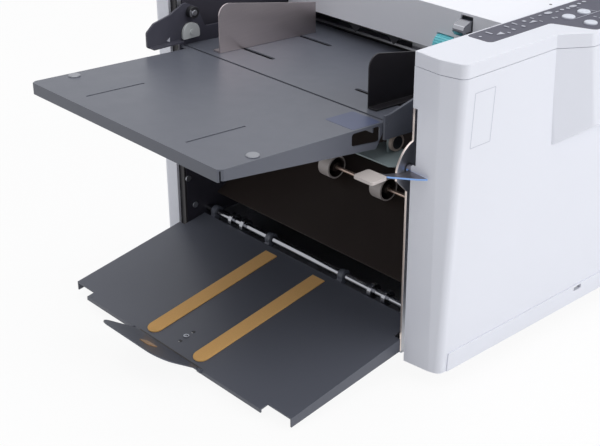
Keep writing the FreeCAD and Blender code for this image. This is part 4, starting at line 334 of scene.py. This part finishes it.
# A thin band on the eject lever's side faces: polished edge with a painted blue-tinted highlight
refinish("eject_lever", "lever_edge_highlight", lambda corners, normal: abs(normal.z) < 0.5 and
         min(c.z for c in corners) > lever_low_z and max(c.z for c in corners) < lever_high_z)
knob_low = (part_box("bracket_knob")[0][1] - origin.y) / mm
refinish("bracket_knob", "zinc_steel", lambda corners, normal:
         max(c.y for c in corners) < knob_low + screw_height and
         max(math.hypot(c.x - corners[0].x, c.z - corners[0].z) for c in corners) < small_face)
refinish("feed_tray", "rivet_grey", lambda corners, normal: normal.z > 0.5 and
         min(c.z + deck_fall * c.x for c in corners) > deck_top_z + dome_rise)

refinish("exit_tray", "key_white", lambda corners, normal: normal.z > 0.995 and
         max(math.hypot(c.x - rivet_x, c.y - rivet_y) for c in corners) < small_face)


# Printed marks, small dots and thin patches that the CAD part leaves to the looks
def flat_patches(name, body, finish, shapes, base, along, across, rise=0.12):
    """Thin raised shapes on one face, each a list of points in millimetres along its two directions."""
    mesh = bmesh.new()
    normal = along.cross(across).normalized()
    for points in shapes:
        ring = [mesh.verts.new(base + (along * u + across * v) * mm + normal * rise * mm) for u, v in points]
        face = mesh.faces.new(ring)
        grown = bmesh.ops.extrude_face_region(mesh, geom=[face])
        lowered = [item for item in grown["geom"] if isinstance(item, bmesh.types.BMVert)]
        bmesh.ops.translate(mesh, verts=lowered, vec=normal * -rise * mm)
    bmesh.ops.recalc_face_normals(mesh, faces=mesh.faces)
    data = bpy.data.meshes.new(name)
    mesh.to_mesh(data)
    mesh.free()
    data.materials.append(materials[finish])
    piece = bpy.data.objects.new(name, data)
    bpy.context.scene.collection.objects.link(piece)
    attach(piece, body)
    return piece


def bar(x, y, length, width, turn=0.0):
    """Four corners of a bar centred on one place."""
    angle = math.radians(turn)
    points = []
    for u, v in ((-1, -1), (1, -1), (1, 1), (-1, 1)):
        du = u * length / 2
        dv = v * width / 2
        points.append((x + du * math.cos(angle) - dv * math.sin(angle),
                       y + du * math.sin(angle) + dv * math.cos(angle)))
    return points


def disc(x, y, radius, count=20):
    """A round outline centred on one place."""
    return [(x + radius * math.cos(2 * math.pi * k / count), y + radius * math.sin(2 * math.pi * k / count))
            for k in range(count)]


def capsule(x, y, length, width, turn=0.0, count=8):
    """A bar with round ends."""
    angle = math.radians(turn)
    reach = (length - width) / 2
    points = []
    for end, start in ((1, -90), (-1, 90)):
        for k in range(count + 1):
            swing = math.radians(start + 180 * k / count)
            du = end * reach + width / 2 * math.cos(swing)
            dv = width / 2 * math.sin(swing)
            points.append((x + du * math.cos(angle) - dv * math.sin(angle),
                           y + du * math.sin(angle) + dv * math.cos(angle)))
    return points


def rounded(x, y, length, width, radius, count=5):
    """A rectangle with round corners, from its low corner."""
    points = []
    left, right, low, high = x + radius, x + length - radius, y + radius, y + width - radius
    for cx, cy, start in ((right, low, -90), (right, high, 0), (left, high, 90), (left, low, 180)):
        for k in range(count + 1):
            swing = math.radians(start + 90 * k / count)
            points.append((cx + radius * math.cos(swing), cy + radius * math.sin(swing)))
    return points


def panel_marks():
    """Plain generic marks on the control panel: dots, bars, triangles and lines that join the keys."""
    base = at(0, 0, panel_top_z)
    across = Vector((0, 1, 0))
    along = Vector((1, 0, 0))
    shapes = [disc(69.0, -188.3, 1.4)]
    for x, y, length, width, turn in (
            (82.5, -186.6, 7.6, 2.0, 90), (108.3, -185.3, 5.6, 1.8, 90), (120.2, -184.6, 6.0, 1.8, 90),
            (106.7, -194.5, 3.6, 2.4, 90), (96.3, -197.9, 3.2, 1.6, 90), (132.7, -185.5, 3.4, 3.4, 0),
            (120.6, -194.6, 3.6, 2.6, 90), (144.8, -185.0, 4.2, 1.5, 90), (157.2, -184.4, 3.6, 1.8, 0),
            (160.0, -197.6, 3.0, 2.2, 90), (163.3, -198.5, 2.6, 1.8, 90), (143.9, -196.0, 3.6, 1.2, 90),
            (178.2, -187.7, 4.2, 1.3, 0), (174.7, -199.4, 4.0, 2.0, 0)):
        shapes.append(bar(x, y, length, width, turn))
    for x, y in ((186.8, -186.9), (194.8, -187.8), (214.2, -185.9), (223.1, -185.1)):
        shapes.append(disc(x, y, 2.0))
    shapes.append([(83.6, -194.3), (90.8, -198.2), (92.4, -191.5)])
    shapes.append([(131.2, -192.4), (141.3, -194.3), (140.3, -189.7)])
    shapes.append(capsule(169.1, -184.6, 9.0, 5.6))
    shapes.append(capsule(203.4, -187.0, 9.0, 5.2))
    for start, end in (((172.6, -212.6), (198.0, -213.2)), ((198.0, -213.2), (236.0, -213.2)),
                       ((202.0, -192.5), (206.0, -213.2))):
        middle = ((start[0] + end[0]) / 2, (start[1] + end[1]) / 2)
        reach = math.dist(start, end)
        slant = math.degrees(math.atan2(end[1] - start[1], end[0] - start[0]))
        shapes.append(bar(middle[0], middle[1], reach, line_width, slant))
    for x, y in ((191.0, -221.0), (191.0, -227.0), (206.0, -221.0), (206.0, -227.0)):
        shapes.append(bar(x, y, 3.2, 1.6, 90))
    flat_patches("panel_marks", nodes["control_membrane"]["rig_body"], "mark_white", shapes,
                 base, along, across)


panel_marks()


def small_marks():
    """The other small flat details: a plain label plate, dots, a triangle mark, a felt pad and a raised
    outline, with dark discs and a strip as painted shade in holes and a hinge gap.
    """
    up = Vector((0, 0, 1))
    x_way = Vector((1, 0, 0))
    y_way = Vector((0, 1, 0))
    tray_way = Vector((1, 0, -deck_fall)).normalized()
    tray_base = at(0, 0, deck_top_z)
    flat_patches("tray_label", nodes["feed_tray"]["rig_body"], "label_blue",
                 [rounded(-38.0, -140.0, 35.0, 36.0, 2.5)], tray_base, tray_way, y_way)
    exit_way = Vector((1, 0, exit_tray_rise)).normalized()
    exit_base = at(rivet_x, 0, exit_tray_z_at_rivet)
    # Black discs as painted shade seen in the exit tray's two small holes
    flat_patches("tray_holes", nodes["exit_tray"]["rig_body"], "black_plastic",
                 [disc(8.6, -1.2, 1.7), disc(-8.8, -1.8, 1.7)], exit_base, exit_way, y_way)
    # A dark strip on the exit tray as painted shade in the gap along its hinge
    flat_patches("tray_hinge_gap_shade", nodes["exit_tray"]["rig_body"], "painted_shade_dark",
                 [rounded(-25.6, -53.0, 3.4, 101.0, 1.2)], exit_base, exit_way, y_way, 0.2)
    flap_angle = math.radians(flap_slope_deg)
    flap_way = Vector((-math.cos(flap_angle), 0, math.sin(flap_angle)))
    # A felt pad on the stop flap, its tan darker than the felt strips' as painted shade
    flat_patches("flap_pad", nodes["exit_stop_flap"]["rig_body"], "felt_tan_shaded",
                 [rounded(-7.0, -5.0, 14.0, 16.0, 3.5)], at(-173.8, 0, 13.7), flap_way, -y_way, 0.5)
    flat_patches("cover_dot", nodes["near_top_cap"]["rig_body"], "black_plastic",
                 [disc(193.4, -168.8, 1.5)], at(0, 0, cover_height), x_way, y_way)
    flat_patches("bracket_mark", nodes["far_feed_bracket"]["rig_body"], "mark_white",
                 [[(-19.2, 243.6), (-15.2, 241.7), (-14.8, 246.6)]], at(0, 155.0, 0), x_way, up)
    flat_patches("tray_rivet_core", nodes["exit_tray"]["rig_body"], "paint_black",
                 [disc(rivet_x, rivet_y, 0.9)], at(0, 0, rivet_top_z), x_way, y_way, 0.2)
    # A black disc in the lift bushing's bore as painted shade of the hole
    flat_patches("bushing_hole_shade", nodes["lift_bushing"]["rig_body"], "black_plastic",
                 [disc(17.5, 210.2, 6.1)], at(0, -140.9, 0), x_way, up, 1.4)
    # The embossed rectangle on the near cover: thin raised bars, darker than the cover as painted shade
    lean = Vector((0, -cover_lean / cover_height, 1)).normalized()
    tall = 1 / lean.z
    frame_bars = [bar(31.0, z * tall, 26.0, line_width) for z in (230.0, 281.0)]
    frame_bars += [bar(x, 255.5 * tall, 51.0 * tall, line_width, 90) for x in (18.0, 44.0)]
    flat_patches("cover_outline", nodes["near_side_cover"]["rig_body"], "outline_shade_grey",
                 frame_bars, at(0, -near_cover_low_y, 0), x_way, lean, 0.15)


def far_shade_flange():
    """Dark folded flange that closes the gap between the far frame and the far cover; its black is painted
    shade, for the shadowed inner face of the far cover.
    """
    near = mm * 0.1
    box = bmesh.new()
    bmesh.ops.create_cube(box, size=1.0)
    corner = at(3.1, 165.5, 5.0)
    end = at(4.0, 180.0, 287.0)
    for vertex in box.verts:
        vertex.co = Vector([corner[k] if vertex.co[k] < 0 else end[k] for k in range(3)])
    bend = [edge for edge in box.edges
            if all(abs(v.co.x - corner.x) < near and abs(v.co.y - corner.y) < near for v in edge.verts)]
    bmesh.ops.bevel(box, geom=bend, offset=0.8 * mm, segments=3, affect="EDGES")
    data = bpy.data.meshes.new("far_shade_flange")
    box.to_mesh(data)
    box.free()
    data.materials.append(materials["paint_black"])
    piece = bpy.data.objects.new("far_shade_flange", data)
    bpy.context.scene.collection.objects.link(piece)
    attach(piece, nodes["far_side_frame"]["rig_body"])


small_marks()
far_shade_flange()


# Floor, light and camera
def seen_directly(tree):
    """One for camera, mirror and see-through rays, so that metal shows the same white background."""
    path = tree.nodes.new("ShaderNodeLightPath")
    total = path.outputs["Is Camera Ray"]
    for kind in ("Is Glossy Ray", "Is Transmission Ray"):
        larger = tree.nodes.new("ShaderNodeMath")
        larger.operation = "MAXIMUM"
        tree.links.new(total, larger.inputs[0])
        tree.links.new(path.outputs[kind], larger.inputs[1])
        total = larger.outputs["Value"]
    return total


def white_floor():
    material, tree, shader = new_material("floor_white")
    varied_colour(tree, shader, noise(tree, 2.0, 2.0), colour(246, 246, 247), colour(250, 250, 251))
    shader.inputs["Roughness"].default_value = 0.9
    glow = add_node(tree, "ShaderNodeEmission", Strength=1.0)
    glow.inputs["Color"].default_value = (1.0, 1.0, 1.0, 1.0)
    mix = tree.nodes.new("ShaderNodeMixShader")
    share = tree.nodes.new("ShaderNodeMath")
    share.operation = "MULTIPLY"
    share.inputs[1].default_value = 0.92
    out = tree.nodes["Material Output"]
    tree.links.new(seen_directly(tree), share.inputs[0])
    tree.links.new(share.outputs["Value"], mix.inputs["Fac"])
    tree.links.new(shader.outputs["BSDF"], mix.inputs[1])
    tree.links.new(glow.outputs["Emission"], mix.inputs[2])
    tree.links.new(mix.outputs["Shader"], out.inputs["Surface"])
    data = bpy.data.meshes.new("floor")
    reach = 6.0
    data.from_pydata([(-reach, -reach, 0), (reach, -reach, 0), (reach, reach, 0), (-reach, reach, 0)], [],
                     [(0, 1, 2, 3)])
    data.materials.append(material)
    floor = bpy.data.objects.new("floor", data)
    bpy.context.scene.collection.objects.link(floor)


def soft_world():
    world = bpy.data.worlds.new("studio")
    world.use_nodes = True
    bpy.context.scene.world = world
    tree = world.node_tree
    back = tree.nodes["Background"]
    level = tree.nodes.new("ShaderNodeMapRange")
    level.inputs["To Min"].default_value = 0.4
    level.inputs["To Max"].default_value = 1.0
    tree.links.new(seen_directly(tree), level.inputs["Value"])
    tree.links.new(level.outputs["Result"], back.inputs["Strength"])
    back.inputs["Color"].default_value = (0.96, 0.97, 1.0, 1.0)


def area_light(name, place, target, size, power, tint=(1.0, 1.0, 1.0)):
    light = bpy.data.lights.new(name, "AREA")
    light.shape = "RECTANGLE"
    light.size = size[0]
    light.size_y = size[1]
    light.energy = power
    light.color = tint
    lamp = bpy.data.objects.new(name, light)
    lamp.location = place
    lamp.rotation_euler = (Vector(target) - Vector(place)).to_track_quat("-Z", "Y").to_euler()
    bpy.context.scene.collection.objects.link(lamp)


def photo_camera():
    """Camera solved from the photograph, in machine axes."""
    place = at(-756.282, -865.358, 650.395)
    right = Vector((0.74051, -0.67203, -0.00412))
    down = Vector((-0.30029, -0.32540, -0.89663))
    ahead = Vector((0.60122, 0.66520, -0.44277))
    data = bpy.data.cameras.new("photo_camera")
    data.sensor_width = 36.0
    data.lens = 75.38
    data.clip_start = 0.05
    camera = bpy.data.objects.new("photo_camera", data)
    turn = Matrix((right, -down, -ahead)).transposed()
    camera.matrix_world = Matrix.Translation(place) @ turn.to_4x4()
    bpy.context.scene.collection.objects.link(camera)
    bpy.context.scene.camera = camera


white_floor()
soft_world()
area_light("key", (0.9, -2.4, 1.6), (0.0, 0.0, 0.2), (2.2, 1.6), 38.0)
area_light("overhead", (-0.2, 0.2, 2.4), (0.0, 0.0, 0.2), (2.4, 2.4), 27.0)
area_light("feed_side", (-2.2, 0.4, 1.0), (0.0, 0.0, 0.2), (1.6, 1.2), 1.5)
photo_camera()
bpy.context.scene.view_settings.view_transform = "Standard"
